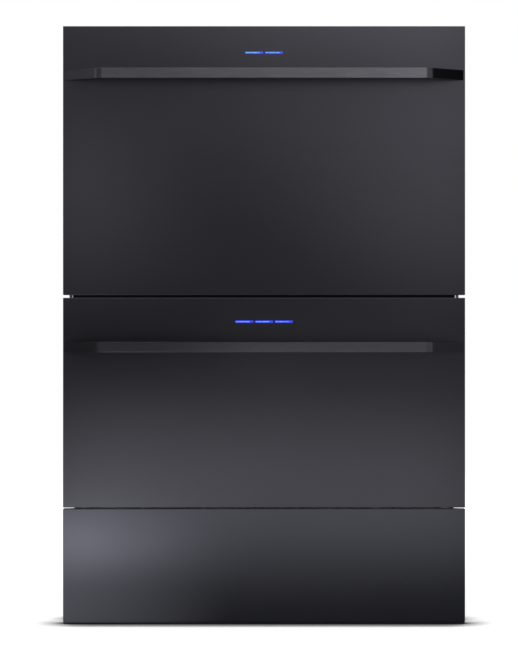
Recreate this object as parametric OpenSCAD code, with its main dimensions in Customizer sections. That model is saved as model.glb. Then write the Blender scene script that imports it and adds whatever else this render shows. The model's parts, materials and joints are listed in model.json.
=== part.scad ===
// Two-drawer dishwasher, built-in width, with a fixed plinth below the drawers.
// Millimetres. The origin is on the floor, at the middle of the overall width and depth.
// X is to the right seen from the front, Y runs to the back and Z is up.

/* [Fronts] */
// Width of the drawer fronts and of the plinth
front_w = 598; // [570:1:620]
// Height of the upper drawer's front
upper_front_h = 400; // [360:1:440]
// Height of the lower drawer's front
lower_front_h = 312; // [290:1:350]
// Height of the plinth panel
plinth_h = 168; // [150:1:210]
// Thickness of the fronts, from the face to the back
front_t = 20; // [16:0.5:26]
// Thickness of the sheet that the fronts are folded from
skin_t = 1.2; // [0.8:0.1:2]
// Radius of the corners of the fronts
front_corner_r = 1.5; // [0.5:0.25:6]
// Gap between the two drawer fronts
door_gap = 4; // [2:0.5:8]
// Gap between the lower front and the plinth
plinth_gap = 2; // [1:0.5:6]
// Height of the plinth's lower edge above the floor
plinth_lift = 3; // [1:0.5:10]

/* [Handles] */
// Height of the handle's bar
handle_h = 15; // [12:0.5:24]
// Thickness of the handle's bar
handle_t = 5; // [4:0.5:8]
// Distance from the face of the front to the face of the bar
handle_reach = 38; // [30:1:50]
// Distance from the side of the front to the handle's root
handle_inset = 2.5; // [1:0.5:12]
// Width of each sloping end, seen from the front
handle_ramp = 52; // [34:0.5:60]
// Outer radius of the bend between the bar and its sloping end
handle_bend_r = 24; // [10:1:30]
// Distance from the top of a front to the middle of its handle
handle_drop = 73; // [60:1:90]

/* [Display] */
// Width of one indicator light
light_w = 27; // [18:0.5:32]
// Height of one indicator light
light_h = 3.5; // [3:0.5:8]
// Space between two indicator lights
light_gap = 2.4; // [1.5:0.1:6]
// Distance from the top of the upper front to its lights
upper_light_drop = 39.5; // [25:0.5:50]
// Distance from the top of the lower front to its lights
lower_light_drop = 35.5; // [25:0.5:50]

/* [Cabinet] */
// Outer width of the cabinet, without the fronts
cabinet_w = 582; // [560:1:590]
// Depth of the cabinet, without the fronts
cabinet_d = 552; // [540:1:600]
// Thickness of the cabinet's sheet steel
sheet_t = 1; // [0.8:0.1:1.5]
// Width of the narrow flange along the front and back edges of the side walls
wall_flange_w = 4.5; // [3:0.5:6]
// Width of the flange along the foot of the side walls
foot_flange_w = 20; // [14:1:24]
// Distance from the top of the upper front down to the cabinet's top
top_drop = 4; // [2:0.5:10]
// Gap between the fronts and the cabinet
front_clear = 3; // [2:0.5:6]
// Width of the open slit beside the back cover and the cross rail
side_slit = 2; // [1.5:0.5:4]
// Depth of the stiffening beads pressed into the sheet
bead_depth = 1.5; // [0.5:0.25:2]

/* [Runners] */
// Height of the runner's outer channel
runner_h = 45; // [40:1:52]
// Thickness of the three-part runner, from the wall to the tub
runner_t = 12.5; // [11.5:0.5:15]
// Sheet thickness of the runner's channels
channel_t = 1.5; // [1.2:0.1:1.6]
// Length of the runner
runner_l = 500; // [460:5:510]
// Height of the runner's middle above the tub's underside
runner_rise = 48; // [40:1:60]

/* [Tubs] */
// Depth of the tub, front to back
tub_d = 480; // [460:1:490]
// Thickness of the tub's wall and floor
tub_wall = 3; // [2.5:0.5:5]
// Outer radius of the tub's upright corners
tub_corner_r = 30; // [24:1:45]
// Distance from the top of a front down to the tub's rim
rim_drop = 42; // [40:1:50]
// Height of the tub's underside above the bottom of its front
floor_rise = 85; // [82:1:95]
// Width that the rim stands out from the tub
rim_w = 3; // [2:0.5:4]
// Height of the rim
rim_h = 4; // [3:0.5:6]
// Width of the ledge that the rack stands on
ledge_w = 11; // [9:0.5:16]
// Height of the ledge above the tub's floor
ledge_h = 48; // [46:1:56]
// Distance from the fronts' back to the tub
tub_setback = 7; // [5:0.5:12]

/* [Lids] */
// How far the lid stands above the tub's rim before it is pressed down
lid_lift = 10; // [8:0.5:12]
// Thickness of the lid's plate
lid_t = 8; // [6:0.5:10]
// Height of the seal under the lid
seal_h = 6; // [4:0.5:8]
// Width of the seal
seal_w = 6; // [5:0.5:9]
// Diameter of the lid's guide pins
pin_d = 6; // [5:0.5:8]

/* [Wash system] */
// Reach of the spray arm from its axis
arm_reach = 205; // [160:1:215]
// Width of the spray arm at its hub
arm_w = 34; // [26:1:44]
// Height of the spray arm
arm_h = 10; // [8:0.5:12]
// Radius of the post that carries the spray arm
post_r = 9; // [7:0.5:11]
// Radius of the pump housing under the tub
pump_r = 75; // [60:1:85]
// Height of the pump housing
pump_h = 24; // [18:1:28]
// Radius of the motor
motor_r = 44; // [36:1:52]
// Height of the motor
motor_h = 40; // [30:1:42]
// Radius of the filter cup
filter_r = 38; // [32:1:42]
// Depth of the filter cup below the tub's floor
filter_depth = 36; // [28:1:44]

/* [Racks] */
// Diameter of the rack's wire
wire_d = 4; // [3:0.25:5]
// Diameter of the tines
tine_d = 3.5; // [2.5:0.25:4.5]
// Gap between the rack and the sides of the tub
rack_side_gap = 5.5; // [4:0.5:9]
// Gap between the rack and the front and back of the tub
rack_end_gap = 18; // [17:0.5:26]
// Height of the upper rack's sides
upper_rack_h = 140; // [120:1:160]
// Height of the lower rack's sides
lower_rack_h = 95; // [80:1:105]
// Height of the upper rack's tines
upper_tine_h = 78; // [60:1:90]
// Height of the lower rack's tines
lower_tine_h = 56; // [40:1:66]

/* [Base] */
// How far the base frame stands in from each side of the cabinet
base_inset = 7; // [6:1:17]
// Height of the base frame's channels
base_h = 40; // [34:1:50]
// Width of the base frame's channels
base_channel_w = 20; // [16:1:26]
// Diameter of the feet
foot_d = 44; // [36:1:56]
// Thickness of a foot's pad
foot_pad_h = 10; // [8:1:14]
// Diameter of a foot's threaded stud
stud_d = 12; // [10:0.5:14]
// Diameter of the sleeves that hold the feet
sleeve_d = 34; // [28:1:40]

/* [Hidden] */
$fn = 48;

// Clearances between pieces
fit = 0.3;          // between pieces that move past each other
eps = 0.01;         // how far a cutting shape runs past a face

// Places along Y, from the front to the back
total_d = handle_reach + front_t + front_clear + cabinet_d;
grip_y = -total_d / 2;                      // face of the handles
face_y = grip_y + handle_reach;             // face of the fronts
back_y = face_y + front_t;                  // back of the fronts
cab_y = back_y + front_clear;               // front edge of the cabinet
rear_y = cab_y + cabinet_d;                 // back of the cabinet
tub_y = back_y + tub_setback;               // front of the tubs
tub_mid_y = tub_y + tub_d / 2;

// Places along X
wall_in = cabinet_w / 2 - sheet_t;          // inner face of a side wall
tub_w = 2 * (wall_in - runner_t);
base_w = cabinet_w - 2 * base_inset;
slit_in = cabinet_w / 2 - wall_flange_w - side_slit;       // where the back cover and cross rail end
lid_half_w = tub_w / 2 - 0.5;

// Heights
base_top = plinth_lift + plinth_h + plinth_gap;
lower_z = base_top;                         // bottom of the lower front
upper_z = lower_z + lower_front_h + door_gap;
top_z = upper_z + upper_front_h - top_drop; // top of the cabinet

// One row for each drawer: bottom of its front, height of its front, rack height, tine height,
// number of lights, drop of its lights
UPPER = [upper_z, upper_front_h, upper_rack_h, upper_tine_h, 2, upper_light_drop];
LOWER = [lower_z, lower_front_h, lower_rack_h, lower_tine_h, 3, lower_light_drop];
function front_z(d) = d[0];
function front_h(d) = d[1];
function front_top(d) = d[0] + d[1];
function rack_h(d) = d[2];
function tine_h(d) = d[3];
function lights(d) = d[4];
function light_z(d) = front_top(d) - d[5];
function rim_z(d) = front_top(d) - rim_drop;
function under_z(d) = front_z(d) + floor_rise;          // underside of the tub
function floor_z(d) = under_z(d) + tub_wall;            // floor inside the tub
function ledge_z(d) = floor_z(d) + ledge_h;
function runner_z(d) = under_z(d) + runner_rise;
function handle_z(d) = front_top(d) - handle_drop;
function seal_z(d) = rim_z(d) + lid_lift + fit;
function lid_z(d) = seal_z(d) + seal_h;

// Colours
front_colour = [0.16, 0.16, 0.18];
zinc = [0.72, 0.73, 0.74];
white_plastic = [0.86, 0.87, 0.88];
grey_plastic = [0.55, 0.57, 0.6];
dark_plastic = [0.12, 0.12, 0.13];
rubber = [0.08, 0.08, 0.08];
coated_wire = [0.78, 0.8, 0.82];
steel = [0.66, 0.67, 0.69];

// A flat rectangle with true round corners, centred
module round_rect(w, h, r) {
    square([w - 2 * r, h], center = true);
    square([w, h - 2 * r], center = true);
    for (x = [-1, 1], y = [-1, 1])
        translate([x * (w / 2 - r), y * (h / 2 - r)])
            circle(r = r);
}

// Turns a flat shape drawn in X and Z into a plate that runs from y0 towards the back
module upright_plate(y0, t) {
    translate([0, y0 + t, 0])
        rotate([90, 0, 0])
            linear_extrude(t)
                children();
}

module both_sides() {
    children();
    mirror([1, 0, 0]) children();
}

module box(x0, x1, y0, y1, z0, z1) {
    translate([x0, y0, z0]) cube([x1 - x0, y1 - y0, z1 - z0]);
}

// A folded front: a sheet face with its edges turned back all round, open behind
module folded_front(z0, h) {
    difference() {
        upright_plate(face_y, front_t)
            translate([0, z0 + h / 2]) round_rect(front_w, h, front_corner_r);
        box(-front_w / 2 + skin_t, front_w / 2 - skin_t, face_y + skin_t, back_y + eps,
            z0 + skin_t, z0 + h - skin_t);
    }
}

function lights_w(d) = lights(d) * light_w + (lights(d) - 1) * light_gap;
function light_x(d, i) = -lights_w(d) / 2 + light_w / 2 + i * (light_w + light_gap);
carrier_edge = 5;           // how far the light carrier reaches past the lights
carrier_t = 7;              // depth of the light carrier

module front_panel(d) {
    color(front_colour)
        difference() {
            folded_front(front_z(d), front_h(d));
            for (i = [0 : lights(d) - 1])
                upright_plate(face_y - 1, skin_t + 2)
                    translate([light_x(d, i), light_z(d)])
                        round_rect(light_w + fit, light_h + fit, 1);
        }
}

// The lenses lie flush with the face, on a carrier behind the sheet
module indicator_lights(d) {
    color([0.15, 0.25, 0.95]) {
        for (i = [0 : lights(d) - 1])
            upright_plate(face_y, skin_t)
                translate([light_x(d, i), light_z(d)]) round_rect(light_w, light_h, 0.8);
        upright_plate(face_y + skin_t, carrier_t)
            translate([0, light_z(d)])
                round_rect(lights_w(d) + 2 * carrier_edge, light_h + 2 * carrier_edge, 2);
    }
}

liner_bolt_r = 2.6;
liner_edge = 9;             // flat margin round the liner's raised middle
// The moulded liner fills the folded front, and its raised middle carries the tub
module front_liner(d) {
    half_w = front_w / 2 - skin_t - fit;
    z0 = front_z(d) + skin_t + fit;
    z1 = front_top(d) - skin_t - fit;
    raised_half_w = tub_w / 2 - 4;
    raised_z0 = front_z(d) + floor_rise - 70;
    raised_z1 = rim_z(d) - rim_h - fit;
    color(dark_plastic)
        difference() {
            union() {
                box(-half_w, half_w, face_y + skin_t, back_y, z0, z1);
                box(-raised_half_w, raised_half_w, back_y - eps, tub_y, raised_z0, raised_z1);
            }
            upright_plate(face_y + skin_t - 1, carrier_t + 1 + fit)
                translate([0, light_z(d)])
                    round_rect(lights_w(d) + 2 * carrier_edge + 2 * fit,
                        light_h + 2 * carrier_edge + 2 * fit, 2);
            // cable way from the lights down to the tub
            box(-12, 12, back_y - 4, tub_y + eps, rim_z(d) - 40, z1 - 20);
            // weight-saving pockets in the margin, and bolt holes
            for (x = [-1, 1], k = [0 : 3])
                translate([x * (half_w - liner_edge), back_y + eps,
                    z0 + 20 + k * (z1 - z0 - 40) / 3])
                    rotate([90, 0, 0]) cylinder(r = liner_bolt_r, h = 10);
            for (k = [-3 : 3])
                box(k * 74 - 30, k * 74 + 30, back_y - 6, back_y + eps, z1 - 14, z1 - 6);
        }
}

// The handle: a flat bar, bent back at each end along a slope that meets the face of the front
ramp_angle = atan2(handle_reach, handle_ramp);
bar_half = front_w / 2 - handle_inset - handle_ramp - handle_bend_r * tan(ramp_angle / 2);
arc_steps = 10;
function arc(cx, cy, r, a0, a1) =
    [for (k = [0 : arc_steps]) let (a = a0 + (a1 - a0) * k / arc_steps) [cx + r * cos(a), cy + r * sin(a)]];
foot_out = front_w / 2 - handle_inset;          // where the bar's outer face meets the front
foot_in = foot_out - handle_t / sin(ramp_angle);
right_half = concat(
    arc(bar_half, grip_y + handle_bend_r, handle_bend_r, -90, -90 + ramp_angle),
    [[foot_out, face_y], [foot_in, face_y]],
    arc(bar_half, grip_y + handle_bend_r, handle_bend_r - handle_t, -90 + ramp_angle, -90));
left_half = [for (k = [len(right_half) - 1 : -1 : 0]) [-right_half[k][0], right_half[k][1]]];
module handle(d) {
    color(front_colour)
        translate([0, 0, handle_z(d) - handle_h / 2])
            linear_extrude(handle_h)
                polygon(concat(right_half, left_half));
}

// Channel section of a runner, drawn in X and Z: a web and two flanges
module channel(web_x, flange_x, h) {
    web = min(web_x, flange_x);
    translate([web_x < flange_x ? web_x : web_x - channel_t, -h / 2]) square([channel_t, h]);
    for (z = [-h / 2, h / 2 - channel_t])
        translate([web, z]) square([abs(flange_x - web_x), channel_t]);
}

race_gap = 0.3;             // space between two channels of a runner
outer_flange = 0.7;         // share of the runner's thickness that the outer flanges take
module runner_pair(d, y0, length, web_x, flange_x, h, slots) {
    both_sides()
        difference() {
            translate([0, 0, runner_z(d)])
                upright_plate(y0, length)
                    translate([wall_in, 0]) mirror([1, 0]) channel(web_x, flange_x, h);
            for (k = [1 : slots])
                translate([wall_in - runner_t - 1, y0 + k * length / (slots + 1), runner_z(d)])
                    rotate([0, 90, 0]) cylinder(r = 3, h = runner_t + 2 - eps);
        }
}
outer_h = runner_h;
middle_h = outer_h - 2 * channel_t - 2 * race_gap;
inner_h = middle_h - 2 * channel_t - 2 * race_gap;
runner_y = cab_y + sheet_t + 3;
middle_web = channel_t + race_gap;

module outer_runners(d) {
    color(zinc) runner_pair(d, runner_y, runner_l, 0, runner_t * outer_flange, outer_h, 5);
}
module middle_runners(d) {
    color(zinc) runner_pair(d, runner_y, runner_l, middle_web, runner_t - channel_t - race_gap, middle_h, 3);
}
module inner_runners(d) {
    color(zinc) runner_pair(d, tub_y + 4, min(tub_d - 8, runner_l - 8), runner_t,
        middle_web + channel_t + race_gap, inner_h, 4);
}

// A long shallow bead pressed inwards from the outer face of a side wall
bead_w = 14;
bead_backs = bead_w + 2 * sheet_t;
module wall_bead(z, y0, y1, proud) {
    w = proud ? bead_backs : bead_w;
    depth = proud ? bead_depth + sheet_t : bead_depth;
    x0 = cabinet_w / 2 - depth;
    translate([x0, 0, z])
        rotate([0, 90, 0])
            linear_extrude(depth + (proud ? 0 : 1)) {
                translate([-w / 2, y0]) square([w, y1 - y0]);
                for (y = [y0, y1]) translate([0, y]) circle(d = w);
            }
}

runner_notch = 4;           // how far the notch reaches above and below the runner
module side_wall() {
    notch_h = runner_h + 2 * runner_notch;
    bead_y0 = cab_y + 50;
    bead_y1 = rear_y - 50;
    bead_z = [for (d = [LOWER, UPPER]) for (s = [0, 1])
        s == 0 ? runner_z(d) + runner_h / 2 + 22 : rim_z(d) - 25];
    color(zinc)
        difference() {
            union() {
                box(wall_in, cabinet_w / 2, cab_y, rear_y, base_top, top_z - sheet_t);
                box(cabinet_w / 2 - wall_flange_w, cabinet_w / 2, cab_y, cab_y + sheet_t,
                    base_top, top_z - sheet_t);
                box(cabinet_w / 2 - wall_flange_w, cabinet_w / 2, rear_y - sheet_t, rear_y,
                    base_top, top_z - sheet_t);
                box(cabinet_w / 2 - foot_flange_w, cabinet_w / 2, cab_y + 20, rear_y - 20,
                    base_top, base_top + sheet_t);
                for (z = bead_z) wall_bead(z, bead_y0, bead_y1, true);
            }
            for (z = bead_z) wall_bead(z, bead_y0, bead_y1, false);
            for (d = [UPPER, LOWER])
                box(cabinet_w / 2 - wall_flange_w - 1, wall_in, cab_y - 1, cab_y + sheet_t + eps,
                    runner_z(d) - notch_h / 2, runner_z(d) + notch_h / 2);
            for (z = fixing_z)
                translate([wall_in - 1, fixing_y, z])
                    rotate([0, 90, 0]) cylinder(r = fixing_r, h = sheet_t + 2);
            // oblong slot beside the cross rail
            box(wall_in - 1, cabinet_w / 2 + 1, cab_y + 24, cab_y + 24 + wall_slot_l,
                tab_top, tab_top + wall_slot_h);
        }
}
wall_slot_l = 44;
wall_slot_h = 20;
tab_top = upper_z - door_gap - 3;           // top of the cross rail's end tabs
// Screw holes that fix the cabinet to the furniture beside it
fixing_r = 2.5;
fixing_y = cab_y + 14;
fixing_step = 288;
fixing_z = [upper_z + 40, upper_z + 40 + fixing_step];

module top_cover() {
    lip = 12;
    bead_inset = 90;
    color(zinc)
        difference() {
            union() {
                box(-cabinet_w / 2, cabinet_w / 2, cab_y, rear_y, top_z - sheet_t, top_z);
                box(-slit_in, slit_in, cab_y, cab_y + sheet_t, top_z - lip, top_z);
                box(-slit_in, slit_in, rear_y - 3 * sheet_t, rear_y - 2 * sheet_t, top_z - lip, top_z);
                for (a = [-1, 1])
                    translate([a * (cabinet_w / 2 - bead_inset), 0, top_z - sheet_t - bead_depth])
                        linear_extrude(bead_depth + sheet_t / 2)
                            translate([0, (cab_y + rear_y) / 2])
                                round_rect(bead_backs, cabinet_d - 2 * bead_inset, bead_backs / 2 - 0.5);
            }
            for (a = [-1, 1])
                translate([a * (cabinet_w / 2 - bead_inset), (cab_y + rear_y) / 2, top_z - bead_depth])
                    linear_extrude(bead_depth + 1)
                        round_rect(bead_w, cabinet_d - 2 * bead_inset - 2 * sheet_t, bead_w / 2 - 0.5);
        }
}

// Back cover with tabs that reach behind the side walls' flanges, and rows of vent slots
tab_h = 14;
upper_vent_rise = 90;       // from the bottom of a front up to the lowest vent slots behind it
lower_vent_rise = 110;
vent_z = [upper_z + upper_vent_rise, lower_z + lower_vent_rise];
module back_cover() {
    z0 = base_top + 2;
    z1 = top_z - sheet_t;
    y0 = rear_y - 2 * sheet_t;
    slot_w = 60;
    slot_h = 5;
    slot_space = 14;
    slot_pitch = 12;
    color(zinc)
        difference() {
            union() {
                box(-slit_in, slit_in, y0, y0 + sheet_t, z0, z1);
                both_sides()
                    for (k = [0 : 4])
                        box(slit_in - 1, wall_in - fit, y0, y0 + sheet_t,
                            z0 + 20 + k * (z1 - z0 - 40 - tab_h) / 4,
                            z0 + 20 + tab_h + k * (z1 - z0 - 40 - tab_h) / 4);
            }
            for (i = [-2.5 : 1 : 2.5], k = [0 : 5], z = vent_z)
                upright_plate(y0 - 1, sheet_t + 2)
                    translate([i * (slot_w + slot_space), z + k * slot_pitch])
                        round_rect(slot_w, slot_h, slot_h / 2 - 0.1);
        }
}

// Folded rail across the cabinet's mouth, behind the gap between the two fronts
rail_depth = 14;
rail_h = 22;
module mid_cross_rail() {
    z0 = upper_z - 13;
    z1 = z0 + rail_h;
    color(dark_plastic) {
        difference() {
            box(-slit_in, slit_in, cab_y, cab_y + rail_depth, z0, z1);
            box(-slit_in - 1, slit_in + 1, cab_y + sheet_t * 1.5, cab_y + rail_depth + 1,
                z0 + sheet_t * 1.5, z1 - sheet_t * 1.5);
        }
        both_sides()
            box(slit_in - 6, wall_in, cab_y + sheet_t, cab_y + rail_depth, z0, tab_top);
    }
}

base_y0 = cab_y + 5;
base_y1 = rear_y - 3;
// Four channels, each folded from thick sheet, open towards the middle
module base_frame() {
    t = 2 * sheet_t;
    z0 = base_top - base_h;
    half_w = base_w / 2;
    color(zinc) {
        both_sides()
            difference() {
                box(half_w - base_channel_w, half_w, base_y0, base_y1, z0, base_top);
                box(half_w - base_channel_w - 1, half_w - t, base_y0 - 1, base_y1 + 1, z0 + t, base_top - t);
                for (y = [base_y0 + foot_inset, base_y1 - foot_inset])
                    translate([half_w - base_channel_w / 2, y, z0 - 1])
                        cylinder(r = stud_d / 2 + 1, h = t + 2);
            }
        for (end = [0, 1])
            translate([0, end * (base_y0 + base_y1), 0])
                mirror([0, end, 0])
                    difference() {
                        box(-half_w + base_channel_w, half_w - base_channel_w,
                            base_y0, base_y0 + base_channel_w, z0, base_top);
                        box(-half_w, half_w, base_y0 + t, base_y0 + base_channel_w + 1,
                            z0 + t, base_top - t);
                    }
    }
}

foot_inset = 40;
foot_x = base_w / 2 - base_channel_w / 2;
foot_places = [[-1, base_y0 + foot_inset], [1, base_y0 + foot_inset],
    [-1, base_y1 - foot_inset], [1, base_y1 - foot_inset]];
sleeve_z0 = foot_pad_h + 30;
sleeve_z1 = base_top - base_h;
stud_top = sleeve_z1 - 10;
sleeve_rib = 3;
module leg_sleeves() {
    color(dark_plastic)
        for (p = foot_places)
            translate([p[0] * foot_x, p[1], 0])
                difference() {
                    union() {
                        translate([0, 0, sleeve_z0]) cylinder(d = sleeve_d - 6, h = sleeve_z1 - sleeve_z0);
                        translate([0, 0, sleeve_z0]) cylinder(d = sleeve_d - 2, h = 6);
                        translate([0, 0, sleeve_z1 - 5]) cylinder(d = sleeve_d, h = 5);
                        for (a = [0, 90])
                            rotate([0, 0, a])
                                translate([-sleeve_d / 2, -sleeve_rib / 2, sleeve_z1 - 40])
                                    cube([sleeve_d, sleeve_rib, 40]);
                    }
                    translate([0, 0, sleeve_z0 - 1])
                        cylinder(r = stud_d / 2 + fit, h = sleeve_z1 - sleeve_z0 + 2);
                }
}

// A foot: a round pad with a hexagon for the spanner, and a threaded stud drawn as a rod
module foot(i) {
    p = foot_places[i];
    color(dark_plastic)
        translate([p[0] * foot_x, p[1], 0]) {
            cylinder(d = foot_d, h = foot_pad_h * 0.5);
            translate([0, 0, foot_pad_h * 0.5])
                cylinder(d1 = foot_d, d2 = foot_d * 0.6, h = foot_pad_h * 0.5);
            translate([0, 0, foot_pad_h]) cylinder(d = foot_d * 0.6, h = 8, $fn = 6);
            translate([0, 0, foot_pad_h]) cylinder(d = stud_d, h = stud_top - foot_pad_h);
        }
}

// Tray that hangs by its rim in the base frame
module drip_tray() {
    wall = 1.5;
    depth = 14;
    half_w = base_w / 2 - base_channel_w - 1;
    y0 = base_y0 + base_channel_w + 1;
    y1 = base_y1 - base_channel_w - 1;
    color(grey_plastic)
        difference() {
            union() {
                box(-half_w, half_w, y0, y1, base_top - depth, base_top + wall);
                box(-half_w - 7, half_w + 7, y0 - 7, y1 + 7, base_top, base_top + wall);
            }
            box(-half_w + wall, half_w - wall, y0 + wall, y1 - wall,
                base_top - depth + wall, base_top + wall + 1);
        }
}

module plinth_panel() {
    color(front_colour) folded_front(plinth_lift, plinth_h);
}
bracket_x = 180;
bracket_w = 40;
bracket_drop = 10;          // from the top of the base frame down to the bracket's top
// Angle brackets between the base frame and the plinth, open at the top and on the inner side
module plinth_brackets() {
    t = 2 * sheet_t;
    x0 = bracket_x - bracket_w / 2;
    z0 = base_top - base_h + 2 * t;
    color(zinc)
        both_sides()
            difference() {
                box(x0, x0 + bracket_w, face_y + skin_t, base_y0, z0, base_top - bracket_drop);
                box(x0 - 1, x0 + bracket_w - t, face_y + skin_t + t, base_y0 - t,
                    z0 + t, base_top - bracket_drop + 1);
            }
}

// Guides on the side walls, with upright slots for the lid's pins
guide_l = 26;
guide_margin = 8;
guide_y = [tub_y + 70, tub_y + tub_d - 70];
function pin_z(d) = lid_z(d) + lid_t / 2;
module lid_guides(d) {
    x0 = lid_half_w + 1.5;
    z0 = pin_z(d) - lid_lift - pin_d / 2 - guide_margin / 2;
    z1 = pin_z(d) + pin_d / 2 + guide_margin / 2;
    color(white_plastic)
        both_sides()
            for (y = guide_y)
                difference() {
                    box(x0, wall_in, y - guide_l / 2, y + guide_l / 2, z0, z1);
                    translate([x0 - 1, y, pin_z(d)])
                        rotate([0, 90, 0]) cylinder(r = pin_d / 2 + fit, h = wall_in - x0 + 2);
                    translate([x0 - 1, y, pin_z(d) - lid_lift])
                        rotate([0, 90, 0]) cylinder(r = pin_d / 2 + fit, h = wall_in - x0 + 2);
                    box(x0 - 1, wall_in + 1, y - pin_d / 2 - fit, y + pin_d / 2 + fit,
                        pin_z(d) - lid_lift, pin_z(d));
                }
}

lid_rib_h = 4;
// The lid: a moulded plate with a grid of ribs on top and four guide pins
module lid(d) {
    y0 = tub_y;
    y1 = tub_y + tub_d;
    ribs = 4;
    color(white_plastic) {
        translate([0, (y0 + y1) / 2, lid_z(d)])
            linear_extrude(lid_t) round_rect(2 * lid_half_w, y1 - y0, tub_corner_r);
        for (i = [-ribs : ribs])
            box(i * 58 - 1.5, i * 58 + 1.5, y0 + 40, y1 - 40, lid_z(d) + lid_t, lid_z(d) + lid_t + lid_rib_h);
        for (k = [0 : ribs])
            box(-lid_half_w + 40, lid_half_w - 40,
                y0 + 40 + k * (tub_d - 83) / ribs, y0 + 43 + k * (tub_d - 83) / ribs,
                lid_z(d) + lid_t, lid_z(d) + lid_t + lid_rib_h);
        both_sides()
            for (y = guide_y)
                translate([lid_half_w - 1, y, pin_z(d)])
                    rotate([0, 90, 0]) cylinder(d = pin_d, h = wall_in - lid_half_w + 1 - 2);
    }
}

module lid_seal(d) {
    color(rubber)
        translate([0, tub_mid_y, seal_z(d)])
            difference() {
                linear_extrude(seal_h) round_rect(2 * lid_half_w, tub_d, tub_corner_r);
                translate([0, 0, -1])
                    linear_extrude(seal_h + 2)
                        round_rect(2 * (lid_half_w - seal_w), tub_d - 2 * seal_w, tub_corner_r - seal_w);
                // a groove round the outside makes the seal's lip
                translate([0, 0, seal_h * 0.35])
                    difference() {
                        linear_extrude(seal_h * 0.3)
                            round_rect(2 * lid_half_w + 2, tub_d + 2, tub_corner_r);
                        translate([0, 0, -1])
                            linear_extrude(seal_h)
                                round_rect(2 * lid_half_w - 4, tub_d - 4, tub_corner_r - 2);
                    }
            }
}

filter_x = 130;
filter_y = tub_mid_y - 95;
well_r = filter_r + 2 * fit;  // inside of the well that holds the filter
slope_r = 165;              // radius of the dished middle of the tub's floor
slope_h = 1.5;              // how far the middle of the floor dips
module tub(d) {
    inner_w = tub_w - 2 * tub_wall;
    inner_d = tub_d - 2 * tub_wall;
    inner_r = tub_corner_r - tub_wall;
    color(steel)
        difference() {
            union() {
                translate([0, tub_mid_y, under_z(d)])
                    linear_extrude(rim_z(d) - under_z(d)) round_rect(tub_w, tub_d, tub_corner_r);
                translate([0, tub_mid_y, rim_z(d) - rim_h])
                    linear_extrude(rim_h)
                        round_rect(tub_w + 2 * rim_w, tub_d + 2 * rim_w, tub_corner_r + rim_w);
            }
            translate([0, tub_mid_y, ledge_z(d)])
                linear_extrude(rim_z(d) - ledge_z(d) + 1) round_rect(inner_w, inner_d, inner_r);
            translate([0, tub_mid_y, floor_z(d)])
                linear_extrude(ledge_h + 1)
                    round_rect(inner_w - 2 * ledge_w, inner_d, inner_r - 4);
            translate([0, tub_mid_y, floor_z(d) - slope_h])
                cylinder(r1 = pump_r, r2 = slope_r, h = slope_h + eps);
            translate([0, tub_mid_y, under_z(d) - 1]) cylinder(r = post_r + fit, h = tub_wall + 2);
            translate([filter_x, filter_y, under_z(d) - 1]) cylinder(r = well_r, h = tub_wall + 2);
        }
}

// Well under the tub's floor, with its flange on the underside and its flat duct to the pump
module filter_well(d) {
    well_z = under_z(d) - filter_depth;
    duct_angle = atan2(filter_y - tub_mid_y, filter_x);
    duct_l = norm([filter_x, filter_y - tub_mid_y]) - pump_r - fit;
    duct_h = pump_h - tub_wall - 4;
    color(grey_plastic)
        translate([filter_x, filter_y, 0])
            difference() {
                union() {
                    translate([0, 0, well_z - tub_wall])
                        cylinder(r = well_r + tub_wall, h = filter_depth + tub_wall);
                    translate([0, 0, under_z(d) - tub_wall])
                        cylinder(r = well_r + tub_wall + 7, h = tub_wall);
                    rotate([0, 0, duct_angle + 180])
                        translate([0, -outlet_r, under_z(d) - tub_wall - duct_h])
                            cube([duct_l, 2 * outlet_r, duct_h + eps]);
                }
                translate([0, 0, well_z]) cylinder(r = well_r, h = filter_depth + 1);
            }
}

// The filter: a slotted cup with a collar on the floor and a bar to turn it by
module filter_cup(d) {
    collar_t = 2;
    slots = 16;
    cup_z = under_z(d) - filter_depth + fit;
    color(dark_plastic)
        translate([filter_x, filter_y, 0]) {
            difference() {
                union() {
                    translate([0, 0, cup_z]) cylinder(r = filter_r, h = floor_z(d) + fit - cup_z);
                    translate([0, 0, floor_z(d) + fit]) cylinder(r = filter_r + 8, h = collar_t);
                }
                translate([0, 0, cup_z + 2]) cylinder(r = filter_r - 2, h = 2 * filter_depth);
                for (k = [0 : slots / 2 - 1])
                    rotate([0, 0, k * 360 / slots])
                        translate([-filter_r - 1, -2.5, cup_z + 8])
                            cube([2 * filter_r + 2, 5, filter_depth - 18]);
            }
            translate([-filter_r + 1, -3, floor_z(d) - 6]) cube([2 * filter_r - 2, 6, 16]);
        }
}

outlet_r = 9;
// Pump housing and motor hang under the tub, and the post rises through the tub's floor
module wash_pump(d) {
    arm_top = floor_z(d) + arm_lift + arm_h + hub_rise + fit;
    color(dark_plastic)
        translate([0, tub_mid_y, 0]) {
            translate([0, 0, under_z(d) - pump_h]) cylinder(r = pump_r, h = pump_h);
            translate([0, 0, under_z(d) - pump_h - motor_h]) cylinder(r = motor_r, h = motor_h + eps);
            for (a = [0 : 30 : 330])
                rotate([0, 0, a])
                    translate([motor_r - 2, -1.5, under_z(d) - pump_h - motor_h + 6])
                        cube([8, 3, motor_h - 6 + eps]);
            translate([0, 0, under_z(d) - eps]) cylinder(r = post_r, h = arm_top - under_z(d) + cap_t);
            translate([0, 0, arm_top]) cylinder(r1 = post_r + 6, r2 = post_r + 2, h = cap_t);
            translate([0, 0, floor_z(d)]) cylinder(r1 = post_r + 14, r2 = post_r + 6, h = arm_lift - fit);
        }
}

drain_r = 26;
drain_l = 62;
drain_x = -pump_r - 34;     // inner end of the drain pump
drain_drop = 2;             // how far the drain pump hangs below the tub
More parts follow.
